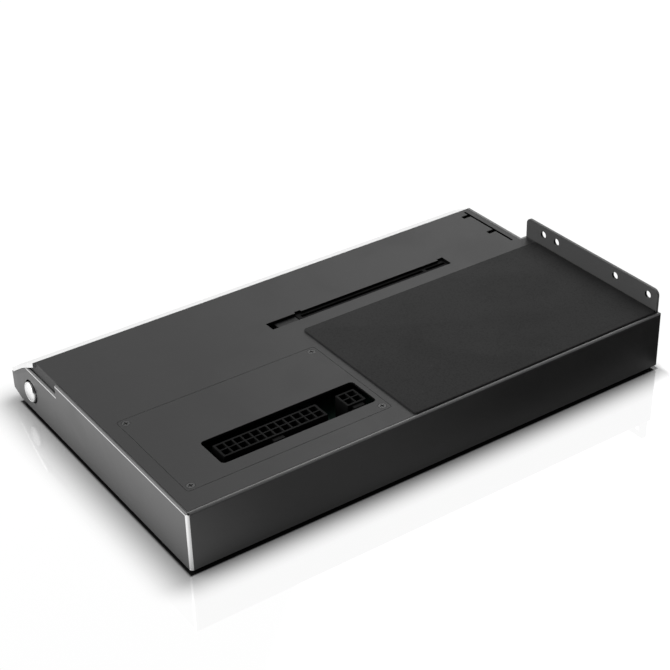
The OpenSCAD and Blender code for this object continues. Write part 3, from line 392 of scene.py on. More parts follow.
def moulded(slot, colour, roughness, grains=2600.0, depth=0.00001, bare=None, **uniform):
    """Moulded plastic or rubber: a fine grain, soft edges and a little handling."""
    finish = Finish(slot, colour, roughness, **uniform)
    grain = place_group(finish.tree, GRAIN, grains=grains, patches=60.0)
    finish.tone(grain["Patch"], 0.5)
    finish.wear(0.5, bare or tint(colour, 2.2))
    finish.dust(0.25)
    finish.gloss(grain["Height"], 0.16, 0.08)
    finish.relief(grain["Height"], depth)
    finish.done()


def pebbled(slot, colour, roughness, pebbles, depth, bare, **uniform):
    """Rubber and powder coat with rounded pebbles and painted shade in the pits between them."""
    finish = Finish(slot, colour, roughness, **uniform)
    pebble = place_group(finish.tree, PEBBLES, pebbles=pebbles)
    grain = place_group(finish.tree, GRAIN, grains=pebbles * 2.5, patches=24.0)
    finish.tone(grain["Patch"], 0.35, 1.2, 0.85)
    # Painted shade in the pits between the pebbles
    finish.cover(times(finish.tree, pebble["Pit shade"], 0.35), tint(colour, 0.5))
    finish.wear(0.45, bare)
    finish.dust(0.3)
    finish.gloss(grain["Height"], 0.1, 0.06)
    finish.relief(pebble["Height"], depth)
    finish.done()


def plated(slot, colour, roughness, **uniform):
    """Plated or bare metal, with stains and polished edges."""
    finish = Finish(slot, colour, roughness, metallic=1.0, **uniform)
    grain = place_group(finish.tree, GRAIN, grains=1800.0, patches=160.0)
    finish.tone(grain["Patch"], 0.6, 1.12, 0.7)
    finish.wear(0.6, tint(colour, 1.3))
    finish.gloss(grain["Patch"], 0.18, 0.1)
    finish.relief(grain["Height"], 0.000004)
    finish.done()


def brushed(slot, colour, roughness, counts, smudge=0.08, patches=0.5):
    """Brushed and anodised metal."""
    finish = Finish(slot, colour, roughness, metallic=1.0)
    lines = place_group(finish.tree, BRUSHED, counts=counts)
    finish.tone(lines["Tone"], patches, 1.12, 0.84)
    finish.wear(0.5, tint(colour, 1.25))
    finish.gloss(lines["Height"], 0.12, smudge)
    finish.relief(lines["Height"], 0.000006)
    finish.done()


# The rim of the end wall lies lower from RIM_START_V on, and slopes down from SLOPE_START_V on
RIM_START_V, RIM_TOP = 115.5, 0.0244
SLOPE_START_V, SLOPE_FALL = 144.0, 0.6
# The polished band under the rim and its soft edge, and how far in the cut edges and faces end
CUT_BAND = 0.0019
CUT_BAND_SOFT = 0.0001
CUT_EDGE_START, CUT_EDGE_END = 0.0013, 0.0016
CUT_FACE_DEPTH = 0.0002


def make_cut_edge_group():
    """Finds the edges of the button end, which are cut bright, and its slope below the fascia, and
    gives masks for painted highlights on the cut edges that stand up and on every rounded edge.
    """
    group, inputs, outputs = new_group("ShaderNodeTree", "bright_cut_edges", [
        ("End", FLOAT, BUTTON_END_X), ("Top", FLOAT, COVER_TOP), ("Rim start", FLOAT, 0.0),
        ("Rim top", FLOAT, RIM_TOP), ("Slope start", FLOAT, 0.0), ("Slope", FLOAT, SLOPE_FALL),
        ("Band", FLOAT, CUT_BAND)],
        [("Cut", FLOAT), ("Upright highlight", FLOAT), ("Edge highlight", FLOAT)])
    facing = facing_axes(group)
    most = larger(group, larger(group, facing["X"], facing["Y"]), facing["Z"])
    place = place_axes(group)
    inset = minus(group, inputs["End"], place["X"])
    at_end = spread(group, inset, CUT_EDGE_END, CUT_EDGE_START)
    edge = times(group, spread(group, most, 0.999, 0.985), at_end)
    # The polished band follows the top, the lower rim and the slope of the end wall
    lower = calc(group, "LESS_THAN", place["Y"], inputs["Rim start"])
    step = minus(group, inputs["Top"], inputs["Rim top"])
    level = minus(group, inputs["Top"], times(group, lower, step))
    run = larger(group, minus(group, inputs["Slope start"], place["Y"]), 0.0)
    line = minus(group, level, times(group, run, inputs["Slope"]))
    under = minus(group, minus(group, line, place["Z"]), inputs["Band"])
    band = times(group, spread(group, under, CUT_BAND_SOFT, -CUT_BAND_SOFT),
                 spread(group, inset, CUT_FACE_DEPTH, 0.0))
    # Painted highlight: the cut edges that stand up, not those that face up
    upright_highlight = times(group, edge, spread(group, facing["Z"], 0.35, 0.1))
    group.links.new(larger(group, edge, band), outputs["Cut"])
    group.links.new(upright_highlight, outputs["Upright highlight"])
    # Painted highlight on every rounded edge
    group.links.new(spread(group, most, 0.99, 0.9), outputs["Edge highlight"])
    return group


def make_wall_metal():
    """Dark anodised aluminium. The edges of the button end are cut bright; the cut edges that stand
    up carry a painted highlight near white, and every rounded edge a fainter painted highlight.
    """
    finish = Finish("wall_metal", grey(0.034), 0.38, edge_radius=0.0002, specular_ior_level=0.85)
    grain = place_group(finish.tree, GRAIN, grains=5200.0, patches=18.0)
    finish.tone(grain["Patch"], 0.35, 1.12, 0.88)
    finish.wear(0.3, grey(0.12))
    edges = place_group(finish.tree, make_cut_edge_group(), rim_start=at(0, RIM_START_V, 0).y,
                        slope_start=at(0, SLOPE_START_V, 0).y)
    # Painted highlight: every rounded edge a little lighter
    finish.cover(edges["Edge highlight"], grey(0.12))
    finish.cover(edges["Cut"], grey(0.1))
    # Painted highlight near white on the cut edges that stand up
    finish.cover(edges["Upright highlight"], grey(0.85))
    finish.tree.links.new(edges["Cut"], finish.shader.inputs["Metallic"])
    finish.gloss(grain["Height"], 0.08, 0.05)
    finish.relief(grain["Height"], 0.0000035)
    finish.done()


# Tone of the cover and of the screw heads in it, and depths between which painted shade darkens a
# recess
COAT_GREY = 0.036
RECESS_SHADE_START, RECESS_SHADE_END = 0.00015, 0.0003


def make_screw_coat():
    """Coated screw heads in the tone of the cover, with painted shade in the cross recess."""
    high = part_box("panel_screws")[1]
    finish = Finish("screw_coat", grey(COAT_GREY), 0.44, edge_radius=0.00008)
    grain = place_group(finish.tree, GRAIN, grains=5000.0, patches=400.0)
    finish.tone(grain["Patch"], 0.4)
    finish.wear(0.3, grey(0.12))
    # Painted shade: the cross recess turns near black below the top of the head
    recess = spread(finish.tree, place_axes(finish.tree)["Z"], high.z - RECESS_SHADE_START,
                    high.z - RECESS_SHADE_END)
    finish.cover(recess, grey(0.003))
    finish.gloss(grain["Height"], 0.1, 0.06)
    finish.relief(grain["Height"], 0.000004)
    finish.done()


# The openings of the cover end before CUTS_END_X. The painted shade on their cut edges starts just
# under the top
CUTS_END_X = 0.112
CUTS_START, CUTS_FULL = 0.0001, 0.00025
# The middle of the flange holes, and how far they reach from it, up and along
HOLE_HEIGHT, HOLE_REACH = 0.0376, 0.0022
HOLES_MIDDLE_Y, HOLES_REACH_Y = 0.037, 0.0395


def make_cut_shade_group():
    """Finds the cut edges of the openings and of the flange holes, for painted shade near black."""
    group, inputs, outputs = new_group("ShaderNodeTree", "painted_shade_in_cuts", [("Top", FLOAT, COVER_TOP)],
                                       [("Cut", FLOAT)])
    facing = facing_axes(group)
    place = place_axes(group)
    below = minus(group, inputs["Top"], place["Z"])
    sheet = times(group, spread(group, facing["Z"], 0.5, 0.3),
                  spread(group, below, CUTS_START, CUTS_FULL))
    sheet = times(group, sheet, calc(group, "LESS_THAN", place["X"], CUTS_END_X))
    up = calc(group, "ABSOLUTE", minus(group, place["Z"], HOLE_HEIGHT))
    along = calc(group, "ABSOLUTE", minus(group, place["Y"], HOLES_MIDDLE_Y))
    hole = times(group, calc(group, "LESS_THAN", up, HOLE_REACH),
                 calc(group, "LESS_THAN", along, HOLES_REACH_Y))
    hole = times(group, hole, spread(group, facing["X"], 0.5, 0.3))
    group.links.new(larger(group, sheet, hole), outputs["Cut"])
    return group


# Painted light: the upstanding flange is painted lighter than the flat part, from its bend up
FLANGE_LIT_GREY = 0.092
FLANGE_START, FLANGE_FULL = 0.0005, 0.0012


def make_cover_coat():
    """Satin dark coat of the cover, the flange and the socket panel, with painted light on the
    flange and painted shade on the cut edges.
    """
    finish = Finish("cover_coat", grey(COAT_GREY), 0.46, edge_radius=0.00018,
                    specular_ior_level=0.2)
    pebble = place_group(finish.tree, PEBBLES, pebbles=3600.0)
    grain = place_group(finish.tree, GRAIN, grains=6000.0, patches=9.0)
    finish.tone(grain["Patch"], 0.3, 1.12, 0.88)
    # Painted light on the flange
    flange_lit = spread(finish.tree, place_axes(finish.tree)["Z"], COVER_TOP + FLANGE_START,
                     COVER_TOP + FLANGE_FULL)
    finish.cover(flange_lit, grey(FLANGE_LIT_GREY))
    finish.wear(0.35, grey(0.2))
    # Painted shade: near black on the cut edges of the openings and in the flange holes
    finish.cover(place_group(finish.tree, make_cut_shade_group())["Cut"], grey(0.002))
    finish.dust(0.35)
    finish.gloss(grain["Height"], 0.1, 0.05)
    finish.relief(pebble["Height"], 0.000004)
    finish.done()


LACQUER = (0.006, 0.014, 0.011, 1.0)
LACQUER_ON_COPPER = (0.012, 0.034, 0.024, 1.0)
TINNED_VIA = (0.45, 0.42, 0.34, 1.0)


def make_board_resin():
    """Dark lacquered board: traces stand a little proud, and vias show tin."""
    finish = Finish("board_resin", LACQUER, 0.32, specular_ior_level=0.5)
    traces = place_group(finish.tree, TRACES)
    grain = place_group(finish.tree, GRAIN, grains=2400.0, patches=40.0)
    finish.tone(grain["Patch"], 0.4)
    finish.cover(traces["Trace"], LACQUER_ON_COPPER)
    finish.cover(traces["Via"], TINNED_VIA)
    finish.dust(0.4)
    finish.gloss(grain["Height"], 0.1, 0.06)
    finish.relief(traces["Trace"], 0.00003)
    finish.done()


# Painted shade on the button inside the wall: how far out of the wall it starts, and how far in it
# is full
BUTTON_SHADE_START, BUTTON_SHADE_FULL = 0.0001, 0.0007


def make_button_metal(centre):
    """Turned and polished metal of the button, with painted shade inside the wall."""
    finish = Finish("button_metal", grey(0.82), 0.2, metallic=1.0, edge_radius=0.0001)
    rings = place_group(finish.tree, TURNED, centre=centre)
    grain = place_group(finish.tree, GRAIN, grains=2000.0, patches=220.0)
    finish.tone(grain["Patch"], 0.4, 1.05, 0.86)
    # Painted shade: the button darkens where it lies inside the wall
    inside = spread(finish.tree, place_axes(finish.tree)["X"], BUTTON_END_X + BUTTON_SHADE_START,
                    BUTTON_END_X - BUTTON_SHADE_FULL)
    finish.cover(inside, grey(0.03))
    finish.gloss(grain["Height"], 0.06, 0.08)
    finish.relief(rings["Height"], 0.0000015)
    finish.done()


def make_can_metal():
    """Aluminium cans of the capacitors, with rubbed edges."""
    finish = Finish("can_metal", grey(0.62), 0.3, metallic=0.9)
    grain = place_group(finish.tree, GRAIN, grains=2200.0, patches=200.0)
    finish.tone(grain["Patch"], 0.4, 1.1, 0.8)
    finish.wear(0.5, grey(0.85))
    finish.gloss(grain["Height"], 0.12, 0.08)
    finish.relief(grain["Height"], 0.000003)
    finish.done()


def make_finishes():
    cap_low, cap_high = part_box("button_cap")
    make_wall_metal()
    make_cover_coat()
    pebbled("base_coat", grey(0.02), 0.55, 1500.0, 0.00003, grey(0.16))
    pebbled("foot_rubber", grey(0.012), 0.85, 1900.0, 0.00004, grey(0.04), specular_ior_level=0.3)
    pebbled("mat_rubber", grey(0.025), 0.85, 1300.0, 0.00002, grey(0.05), specular_ior_level=0.2,
            edge_radius=0.0002)
    brushed("fascia_metal", grey(0.78), 0.3, (26.0, 2600.0, 2600.0), smudge=0.03, patches=0.25)
    brushed("sink_metal", grey(0.1), 0.38, (2600.0, 40.0, 2600.0))
    plated("black_steel", grey(0.02), 0.42)
    plated("plated_steel", (0.6, 0.6, 0.58, 1.0), 0.3)
    plated("brass_part", (0.72, 0.5, 0.22, 1.0), 0.3)
    plated("gold_contact", (0.9, 0.62, 0.25, 1.0), 0.24, edge_radius=0.00005)
    make_screw_coat()
    make_can_metal()
    make_button_metal(((cap_low + cap_high) / 2)[:])
    make_board_resin()
    moulded("socket_plastic", grey(0.0035), 0.6, specular_ior_level=0.07, bare=grey(0.01))
    moulded("latch_plastic", grey(0.008), 0.5, bare=grey(0.03), specular_ior_level=0.3)
    moulded("chip_resin", grey(0.018), 0.6, grains=3400.0)
    moulded("pad_silicone", (0.25, 0.31, 0.38, 1.0), 0.7, grains=1500.0, subsurface_weight=0.1)
    moulded("coil_ferrite", grey(0.07), 0.75, grains=1800.0, depth=0.00002)
    moulded("lead_sleeve", grey(0.02), 0.45, grains=1200.0)
    moulded("plug_plastic", (0.7, 0.66, 0.55, 1.0), 0.42, subsurface_weight=0.1)


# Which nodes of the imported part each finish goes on
SLOT_NODES = {
    "wall_metal": ["housing_frame"],
    "base_coat": ["base_plate"],
    "foot_rubber": ["rubber_feet"],
    "cover_coat": ["top_cover", "socket_panel"],
    "fascia_metal": ["front_fascia"],
    # The heads in the panel take the tone of the cover round them
    "screw_coat": ["panel_screws"],
    "black_steel": ["case_screws", "fascia_screws"],
    "plated_steel": ["panel_nuts", "board_screws", "guide_screws", "storage_screw", "latch_pin",
                     "button_spring", "link_shell", "usb_shell"],
    "mat_rubber": ["supply_mat"],
    "board_resin": ["main_board", "button_board"],
    "brass_part": ["board_standoffs", "storage_standoff"],
    "socket_plastic": ["slot_housing", "main_socket", "aux_socket", "storage_connector",
                       "link_tongue", "usb_tongue", "button_guide"],
    "gold_contact": ["slot_contacts", "main_socket_pins", "aux_socket_pins", "storage_contacts"],
    "latch_plastic": ["slot_latch"],
    "chip_resin": ["bridge_chip", "power_transistors", "support_chips", "button_switch"],
    "pad_silicone": ["thermal_pad"],
    "sink_metal": ["heatsink"],
    "can_metal": ["bulk_capacitors"],
    "coil_ferrite": ["power_inductors"],
    "button_metal": ["button_cap"],
    "lead_sleeve": ["button_lead"],
    "plug_plastic": ["lead_plug"]}


def paint(mesh_object, slot):
    materials = mesh_object.data.materials
    materials.clear()
    materials.append(FINISHES[slot])


def paint_nodes():
    for slot, names in SLOT_NODES.items():
        for name in names:
            paint(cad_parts[name], slot)


# Stage ----------------------------------------------------------------------------------------

FLOOR_SIZE = 6.0
# Distances from the walls over which the floor turns white and its painted shadow fades out
FADE_START = -0.0025
FADE_END = 0.0225
# How many times faster it does so behind the back wall and past the flange end
BACK_FADE = 1.25
FAR_FADE = 4.5
# The painted black contact shadow along the footprint of the walls, where the feet hold the body
# just off the floor
CONTACT_SHADOW_WIDTH = 0.0014
CONTACT_SHADOW_COLOUR = grey(0.01)
# Painted shadow beside the walls, from the near colour to the floor's own colour
NEAR_SHADOW_COLOUR, FLOOR_COLOUR = grey(0.5), grey(0.8)
FLOOR_GLOSS, FLOOR_SPECULAR = 0.09, 0.35
FLOOR_WHITE = 0.95
MIRROR_SHARE, MIRROR_GLOSS = 0.1, 0.03
# Painted dark reflection: metal sees the floor behind the back wall dimmer, which darkens what the
# walls reflect: where it dims, and where it is a little paler again
REFLECTION_DIM_START_Y, REFLECTION_DIM_FULL_Y = 0.05, 0.09
REFLECTION_DIM_START_X, REFLECTION_DIM_FULL_X = 0.17, 0.06
BACK_REFLECTION_PALE = 0.2
BACK_REFLECTION_PALE_X, BACK_REFLECTION_DARK_X = 0.04, -0.075


def seen_rays(tree):
    """The kinds of ray, and a mask of those that show the stage as white."""
    rays = node(tree, "ShaderNodeLightPath").outputs
    through = larger(tree, rays["Is Glossy Ray"], rays["Is Transmission Ray"])
    return rays, larger(tree, rays["Is Camera Ray"], through)


def wall_distance(tree, place):
    """Distance from the footprint of the walls, with the step at the flange end."""
    stepped = calc(tree, "LESS_THAN", place["Y"], at(0, END_STEP_V, 0).y)
    far_end = calc(tree, "MULTIPLY_ADD", stepped, END_STEP * MM, housing_low.x)
    past_far_end = times(tree, minus(tree, far_end, place["X"]), FAR_FADE)
    past_end = larger(tree, minus(tree, place["X"], housing_high.x), past_far_end)
    past_back = larger(tree, minus(tree, place["Y"], housing_high.y), 0.0)
    past_front = larger(tree, minus(tree, housing_low.y + NOSE_FOOT * MM, place["Y"]), 0.0)
    past_side = calc(tree, "MULTIPLY_ADD", past_back, BACK_FADE, past_front)
    both = node(tree, "ShaderNodeCombineXYZ", {"X": larger(tree, past_end, 0.0), "Y": past_side})
    return node(tree, "ShaderNodeVectorMath", {0: both.outputs[0]},
                operation="LENGTH").outputs["Value"]


def make_floor():
    """Pale floor: beside the walls it keeps the shadow of the lamps and adds a painted shadow with
    a painted black contact line, and turns white further out; gloss sees it dimmer behind the back
    wall, a painted dark reflection.
    """
    mesh = bpy.data.meshes.new("floor")
    half = FLOOR_SIZE / 2
    mesh.from_pydata([(-half, -half, 0), (half, -half, 0), (half, half, 0), (-half, half, 0)], [],
                     [(0, 1, 2, 3)])
    floor = bpy.data.objects.new("floor", mesh)
    bpy.context.scene.collection.objects.link(floor)
    material = bpy.data.materials.new("floor_white_painted_shadow")
    material.use_nodes = True
    tree = material.node_tree
    shader = next(n for n in tree.nodes if n.type == "BSDF_PRINCIPLED")
    shader.inputs["Roughness"].default_value = FLOOR_GLOSS
    shader.inputs["Specular IOR Level"].default_value = FLOOR_SPECULAR
    place = place_axes(tree)
    distance = wall_distance(tree, place)
    # Painted shadow: a black contact line along the footprint, then a darker floor beside the walls
    # that fades out
    clear = spread(tree, distance, 0.0, CONTACT_SHADOW_WIDTH)
    away = spread(tree, distance, 0.0, FADE_END)
    near = blend_colours(tree, away, NEAR_SHADOW_COLOUR, FLOOR_COLOUR)
    tree.links.new(blend_colours(tree, clear, CONTACT_SHADOW_COLOUR, near), shader.inputs["Base Color"])
    rays, seen = seen_rays(tree)
    # Painted dark reflection: gloss rays see the floor behind the back wall dimmer, paler again
    # towards the button end
    reflection_dim = times(tree, spread(tree, place["Y"], REFLECTION_DIM_START_Y, REFLECTION_DIM_FULL_Y),
                spread(tree, place["X"], REFLECTION_DIM_START_X, REFLECTION_DIM_FULL_X))
    dark = spread(tree, place["X"], BACK_REFLECTION_DARK_X, BACK_REFLECTION_PALE_X, 1.0, 1.0 - BACK_REFLECTION_PALE)
    lost = times(tree, times(tree, reflection_dim, rays["Is Glossy Ray"]), dark)
    lit = node(tree, "ShaderNodeEmission",
               {"Color": grey(1.0), "Strength": minus(tree, FLOOR_WHITE, lost)})
    mirror = node(tree, "ShaderNodeBsdfGlossy",
                  {"Color": grey(MIRROR_SHARE), "Roughness": MIRROR_GLOSS})
    white = node(tree, "ShaderNodeAddShader", {0: lit.outputs[0], 1: mirror.outputs[0]})
    fade = times(tree, spread(tree, distance, FADE_START, FADE_END), clear)
    mix = node(tree, "ShaderNodeMixShader", {
        0: times(tree, fade, seen), 1: shader.outputs[0], 2: white.outputs[0]})
    tree.links.new(mix.outputs[0], tree.nodes["Material Output"].inputs["Surface"])
    mesh.materials.append(material)


# How bright gloss sees the studio overhead and behind the back wall, and the light of the rest
OVERHEAD_LEVEL, OVERHEAD_START_Z, OVERHEAD_FULL_Z = 0.4, 0.25, 0.75
BACK_LEVEL, BACK_START_Y, BACK_FULL_Y = 0.1, -0.1, 0.4
FILL_STRENGTH = 0.3


def make_world():
    """White behind the object, dimmer overhead, and a soft fill for the rest."""
    world = bpy.data.worlds.new("studio")
    world.use_nodes = True
    tree = world.node_tree
    direction = node(tree, "ShaderNodeTexCoord").outputs["Generated"]
    axes = node(tree, "ShaderNodeSeparateXYZ", {"Vector": direction}).outputs
    rays, seen = seen_rays(tree)
    above = spread(tree, axes["Z"], OVERHEAD_START_Z, OVERHEAD_FULL_Z, 1.0, OVERHEAD_LEVEL)
    level = times(tree, above, spread(tree, axes["Y"], BACK_START_Y, BACK_FULL_Y, 1.0, BACK_LEVEL))
    lost = times(tree, rays["Is Glossy Ray"], minus(tree, 1.0, level))
    shown = node(tree, "ShaderNodeBackground",
                 {"Color": grey(1.0), "Strength": minus(tree, 1.0, lost)})
    fill = node(tree, "ShaderNodeBackground", {"Color": grey(1.0), "Strength": FILL_STRENGTH})
    mix = node(tree, "ShaderNodeMixShader", {0: seen, 1: fill.outputs[0], 2: shown.outputs[0]})
    tree.links.new(mix.outputs[0], tree.nodes["World Output"].inputs["Surface"])
    bpy.context.scene.world = world


LAMPS = [
    # name, place, size across and down, watts
    ("overhead_softbox", (-0.5, -0.28, 0.72), (0.7, 0.7), 4.8),
    ("end_softbox", (1.05, -0.55, 0.68), (2.0, 1.3), 15.0)]


def make_lamps():
    for name, place, (across, down), watts in LAMPS:
        data = bpy.data.lights.new(name, "AREA")
        data.shape = "RECTANGLE"
        data.size = across
        data.size_y = down
        data.energy = watts
        lamp = bpy.data.objects.new(name, data)
        bpy.context.scene.collection.objects.link(lamp)
        lamp.location = place
        lamp.rotation_mode = "QUATERNION"
        lamp.rotation_quaternion = (-Vector(place)).to_track_quat("-Z", "Y")


# Pieces ---------------------------------------------------------------------------------------

def add_piece(name, mesh, slot, body=None):
    """Puts a finished mesh into the scene, with its finish, on its body where one is given."""
    piece = bpy.data.objects.new(name, mesh)
    bpy.context.scene.collection.objects.link(piece)
    paint(piece, slot)
    if body:
        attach(piece, body)
    return piece


def mesh_from(bm, name, smooth=40):
    """Makes a mesh of a finished skin, shaded smooth over edges up to an angle in degrees."""
    bmesh.ops.recalc_face_normals(bm, faces=bm.faces[:])
    mesh = bpy.data.meshes.new(name)
    bm.to_mesh(mesh)
    bm.free()
    for polygon in mesh.polygons:
        polygon.use_smooth = True
    mesh.set_sharp_from_angle(angle=math.radians(smooth))
    return mesh


def rounded_outline(low, high, radius, steps):
    """Points round a rectangle with rounded corners, in the plane of the floor."""
    points = []
    corners = ((high.x, high.y), (low.x, high.y), (low.x, low.y), (high.x, low.y))
    for i, (x, y) in enumerate(corners):
        cx = x - radius if i in (0, 3) else x + radius
        cy = y - radius if i in (0, 1) else y + radius
        for k in range(steps + 1):
            turn = math.pi / 2 * (i + k / steps)
            points.append((cx + radius * math.cos(turn), cy + radius * math.sin(turn)))
    return points


def loft(rings):
    """Joins rings of equal length into one skin, closed at both ends."""
    bm = bmesh.new()
    made = [[bm.verts.new(point) for point in ring] for ring in rings]
    count = len(rings[0])
    for a, b in zip(made, made[1:]):
        for i in range(count):
            j = (i + 1) % count
            bm.faces.new((a[i], a[j], b[j], b[i]))
    bm.faces.new(list(reversed(made[0])))
    bm.faces.new(made[-1])
    return bm


MAT_CORNER, MAT_CORNER_STEPS = 0.0015, 6
MAT_EDGE, MAT_EDGE_STEPS = 0.0004, 4


def make_mat():
    """Rubber mat under the power supply, with rounded corners and a rounded upper edge."""
    low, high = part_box("supply_mat")
    rings = []
    for k in range(-1, MAT_EDGE_STEPS + 1):
        turn = math.pi / 2 * max(k, 0) / MAT_EDGE_STEPS
        inset = MAT_EDGE * (1 - math.cos(turn))
        z = low.z if k < 0 else high.z - MAT_EDGE + MAT_EDGE * math.sin(turn)
        shift = Vector((inset, inset, 0))
        outline = rounded_outline(low + shift, high - shift, MAT_CORNER - inset, MAT_CORNER_STEPS)
        rings.append([(x, y, z) for x, y in outline])
    mat = add_piece("mat_sheet", mesh_from(loft(rings), "mat_sheet"), "mat_rubber", "chassis")
    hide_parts("supply_mat")


def round_turns(sides):
    """The angles of points round a circle."""
    return [2 * math.pi * k / sides for k in range(sides)]


def turned(name, centre, profile, sides):
    """A turned piece about a line along X: the profile gives x and radius, outer end first."""
    rings = []
    for x, radius in profile:
        rings.append([(x, centre.y + radius * math.cos(turn), centre.z + radius * math.sin(turn))
                      for turn in round_turns(sides)])
    return mesh_from(loft(rings), name, smooth=30)


BUTTON_RADIUS, STEM_RADIUS = 0.005, 0.0016
BUTTON_SIDES = 72
# The dome and its rim: how far behind the face, and at what radius
BUTTON_FACE = [
    (0.0, 0.0004), (0.00003, 0.0012), (0.00011, 0.0022), (0.00024, 0.0031), (0.0004, 0.0037),
    (0.00052, 0.00395), (0.00056, 0.00406), (0.0005, 0.00416), (0.00046, 0.0043),
    (0.00054, 0.00458), (0.00072, 0.0048), (0.00098, 0.00494), (0.0013, BUTTON_RADIUS)]
# How far the collar lies behind the face of the end wall, and how thick it is
COLLAR_DEPTH, COLLAR_THICK = 0.0033, 0.001
COLLAR_BEVEL = 0.0002


def make_button():
    """Domed and turned button with a rim, a collar behind the wall and a stem."""
    low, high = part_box("button_cap")
    centre = (low + high) / 2
    collar = (high.y - low.y) / 2
    front = BUTTON_END_X - COLLAR_DEPTH
    back = front - COLLAR_THICK
    profile = [(high.x - depth, radius) for depth, radius in BUTTON_FACE]
    profile += [(front, BUTTON_RADIUS), (front, collar - COLLAR_BEVEL),
                (front - COLLAR_BEVEL, collar), (back + COLLAR_BEVEL, collar),
                (back, collar - COLLAR_BEVEL), (back, STEM_RADIUS),
                (low.x + COLLAR_BEVEL, STEM_RADIUS), (low.x, STEM_RADIUS - COLLAR_BEVEL)]
    mesh = turned("button_dome", centre, profile, BUTTON_SIDES)
    cap = add_piece("button_dome", mesh, "button_metal", "power_button")
    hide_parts("button_cap")


def tube(points, radius, sides):
    """A round and closed tube along a path of points."""
    rings = []
    side = None
    for i, point in enumerate(points):
        ahead = (points[min(i + 1, len(points) - 1)] - points[max(i - 1, 0)]).normalized()
        if side is None:
            side = ahead.orthogonal().normalized()
        side = (side - ahead * side.dot(ahead)).normalized()
        other = ahead.cross(side)
        rings.append([point + radius * (side * math.cos(turn) + other * math.sin(turn))
                      for turn in round_turns(sides)])
    return loft(rings)


SPRING_TURNS, SPRING_TURN_STEPS = 3, 40
SPRING_WIRE, SPRING_SIDES = 0.00045, 10


def make_spring():
    """Coil spring between the collar of the button and its guide."""
    low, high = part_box("button_spring")
    centre = (low + high) / 2
    mean = (high.z - low.z - SPRING_WIRE) / 2
    points = []
    steps = SPRING_TURNS * SPRING_TURN_STEPS
    for i in range(steps + 1):
        turn = 2 * math.pi * SPRING_TURNS * i / steps
        x = high.x - SPRING_WIRE / 2 - (high.x - low.x - SPRING_WIRE) * i / steps
        y = centre.y + mean * math.cos(turn)
        points.append(Vector((x, y, centre.z + mean * math.sin(turn))))
    mesh = mesh_from(tube(points, SPRING_WIRE / 2, SPRING_SIDES), "spring_coil", smooth=60)
    spring = add_piece("spring_coil", mesh, "plated_steel")
    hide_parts("button_spring")
    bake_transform(spring)


LEAD_CORE, LEAD_SIDES = 0.00078, 14
LEAD_BEND, LEAD_BEND_STEPS = 0.005, 12


def make_lead():
    """Two insulated cores side by side, from the button's small board to its plug."""
    low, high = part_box("button_lead")
    z = (low.z + high.z) / 2
    thick = high.z - low.z
    y = low.y + thick / 2
    x = low.x + thick / 2
    cores = []
    for s in (-1, 1):
        offset = s * thick / 4
        reach = LEAD_BEND - offset
        points = [Vector((high.x, y + offset, z)), Vector((x + LEAD_BEND, y + offset, z))]
        for k in range(1, LEAD_BEND_STEPS):
            turn = math.pi / 2 * k / LEAD_BEND_STEPS
            points.append(Vector((x + LEAD_BEND - reach * math.sin(turn),
                                  y + LEAD_BEND - reach * math.cos(turn), z)))
        points += [Vector((x + offset, y + LEAD_BEND, z)), Vector((x + offset, high.y, z))]
        cores.append(tube(points, LEAD_CORE / 2, LEAD_SIDES))
    mesh = bpy.data.meshes.new("lead_core")
    cores[1].to_mesh(mesh)
    cores[1].free()
    cores[0].from_mesh(mesh)
    lead = add_piece("lead_cores", mesh_from(cores[0], "lead_cores"), "lead_sleeve", "chassis")
    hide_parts("button_lead")


SMALL_BEVEL = 0.00008


def small_part_mesh(name, size):
    """One small bevelled block about its foot, to be repeated on the board."""
    bm = bmesh.new()
    for vert in bmesh.ops.create_cube(bm, size=1.0)["verts"]:
        vert.co = (vert.co.x * size[0], vert.co.y * size[1], (vert.co.z + 0.5) * size[2])
    bmesh.ops.bevel(bm, geom=bm.edges[:], offset=SMALL_BEVEL, segments=1, affect="EDGES")
    return mesh_from(bm, name, smooth=20)


def make_repeat_tree(name):
    """A node tree that sets one piece on every point and gives it its finish."""
    group, inputs, outputs = new_group("GeometryNodeTree", name, [
        ("Points", "NodeSocketGeometry", None), ("Piece", "NodeSocketObject", None),
        ("Scale", VECTOR, (1.0, 1.0, 1.0)), ("Finish", "NodeSocketMaterial", None)],
        [("Geometry", "NodeSocketGeometry")])
    group.is_modifier = True
    source = node(group, "GeometryNodeObjectInfo", {"Object": inputs["Piece"]})
    repeat = node(group, "GeometryNodeInstanceOnPoints", {
        "Points": inputs["Points"], "Instance": source.outputs["Geometry"],
        "Scale": inputs["Scale"]})
    real = node(group, "GeometryNodeRealizeInstances", {"Geometry": repeat.outputs[0]})
    done = node(group, "GeometryNodeSetMaterial", {"Geometry": real.outputs[0],
                                                   "Material": inputs["Finish"]})
    group.links.new(done.outputs[0], outputs["Geometry"])
    return group


def repeat_piece(tree, name, piece_mesh, places, slot, scale=(1, 1, 1)):
    """Repeats a mesh at places with the node tree, and keeps a plain mesh on the chassis."""
    points = bpy.data.meshes.new(name + "_points")
    points.from_pydata(places, [], [])
    master = bpy.data.objects.new(name + "_master", piece_mesh)
    holder = bpy.data.objects.new(name + "_holder", points)
    for made in (master, holder):
        bpy.context.scene.collection.objects.link(made)
    modifier = holder.modifiers.new("repeat", "NODES")
    modifier.node_group = tree
    values = {"Piece": master, "Scale": scale, "Finish": FINISHES[slot]}
    for item in tree.interface.items_tree:
        if item.in_out == "INPUT" and item.name in values:
            modifier[item.identifier] = values[item.name]
    graph = bpy.context.evaluated_depsgraph_get()
    mesh = bpy.data.meshes.new_from_object(holder.evaluated_get(graph))
    mesh.name = name
    for made in (holder, master):
        bpy.data.objects.remove(made)
    return add_piece(name, mesh, slot, "chassis")


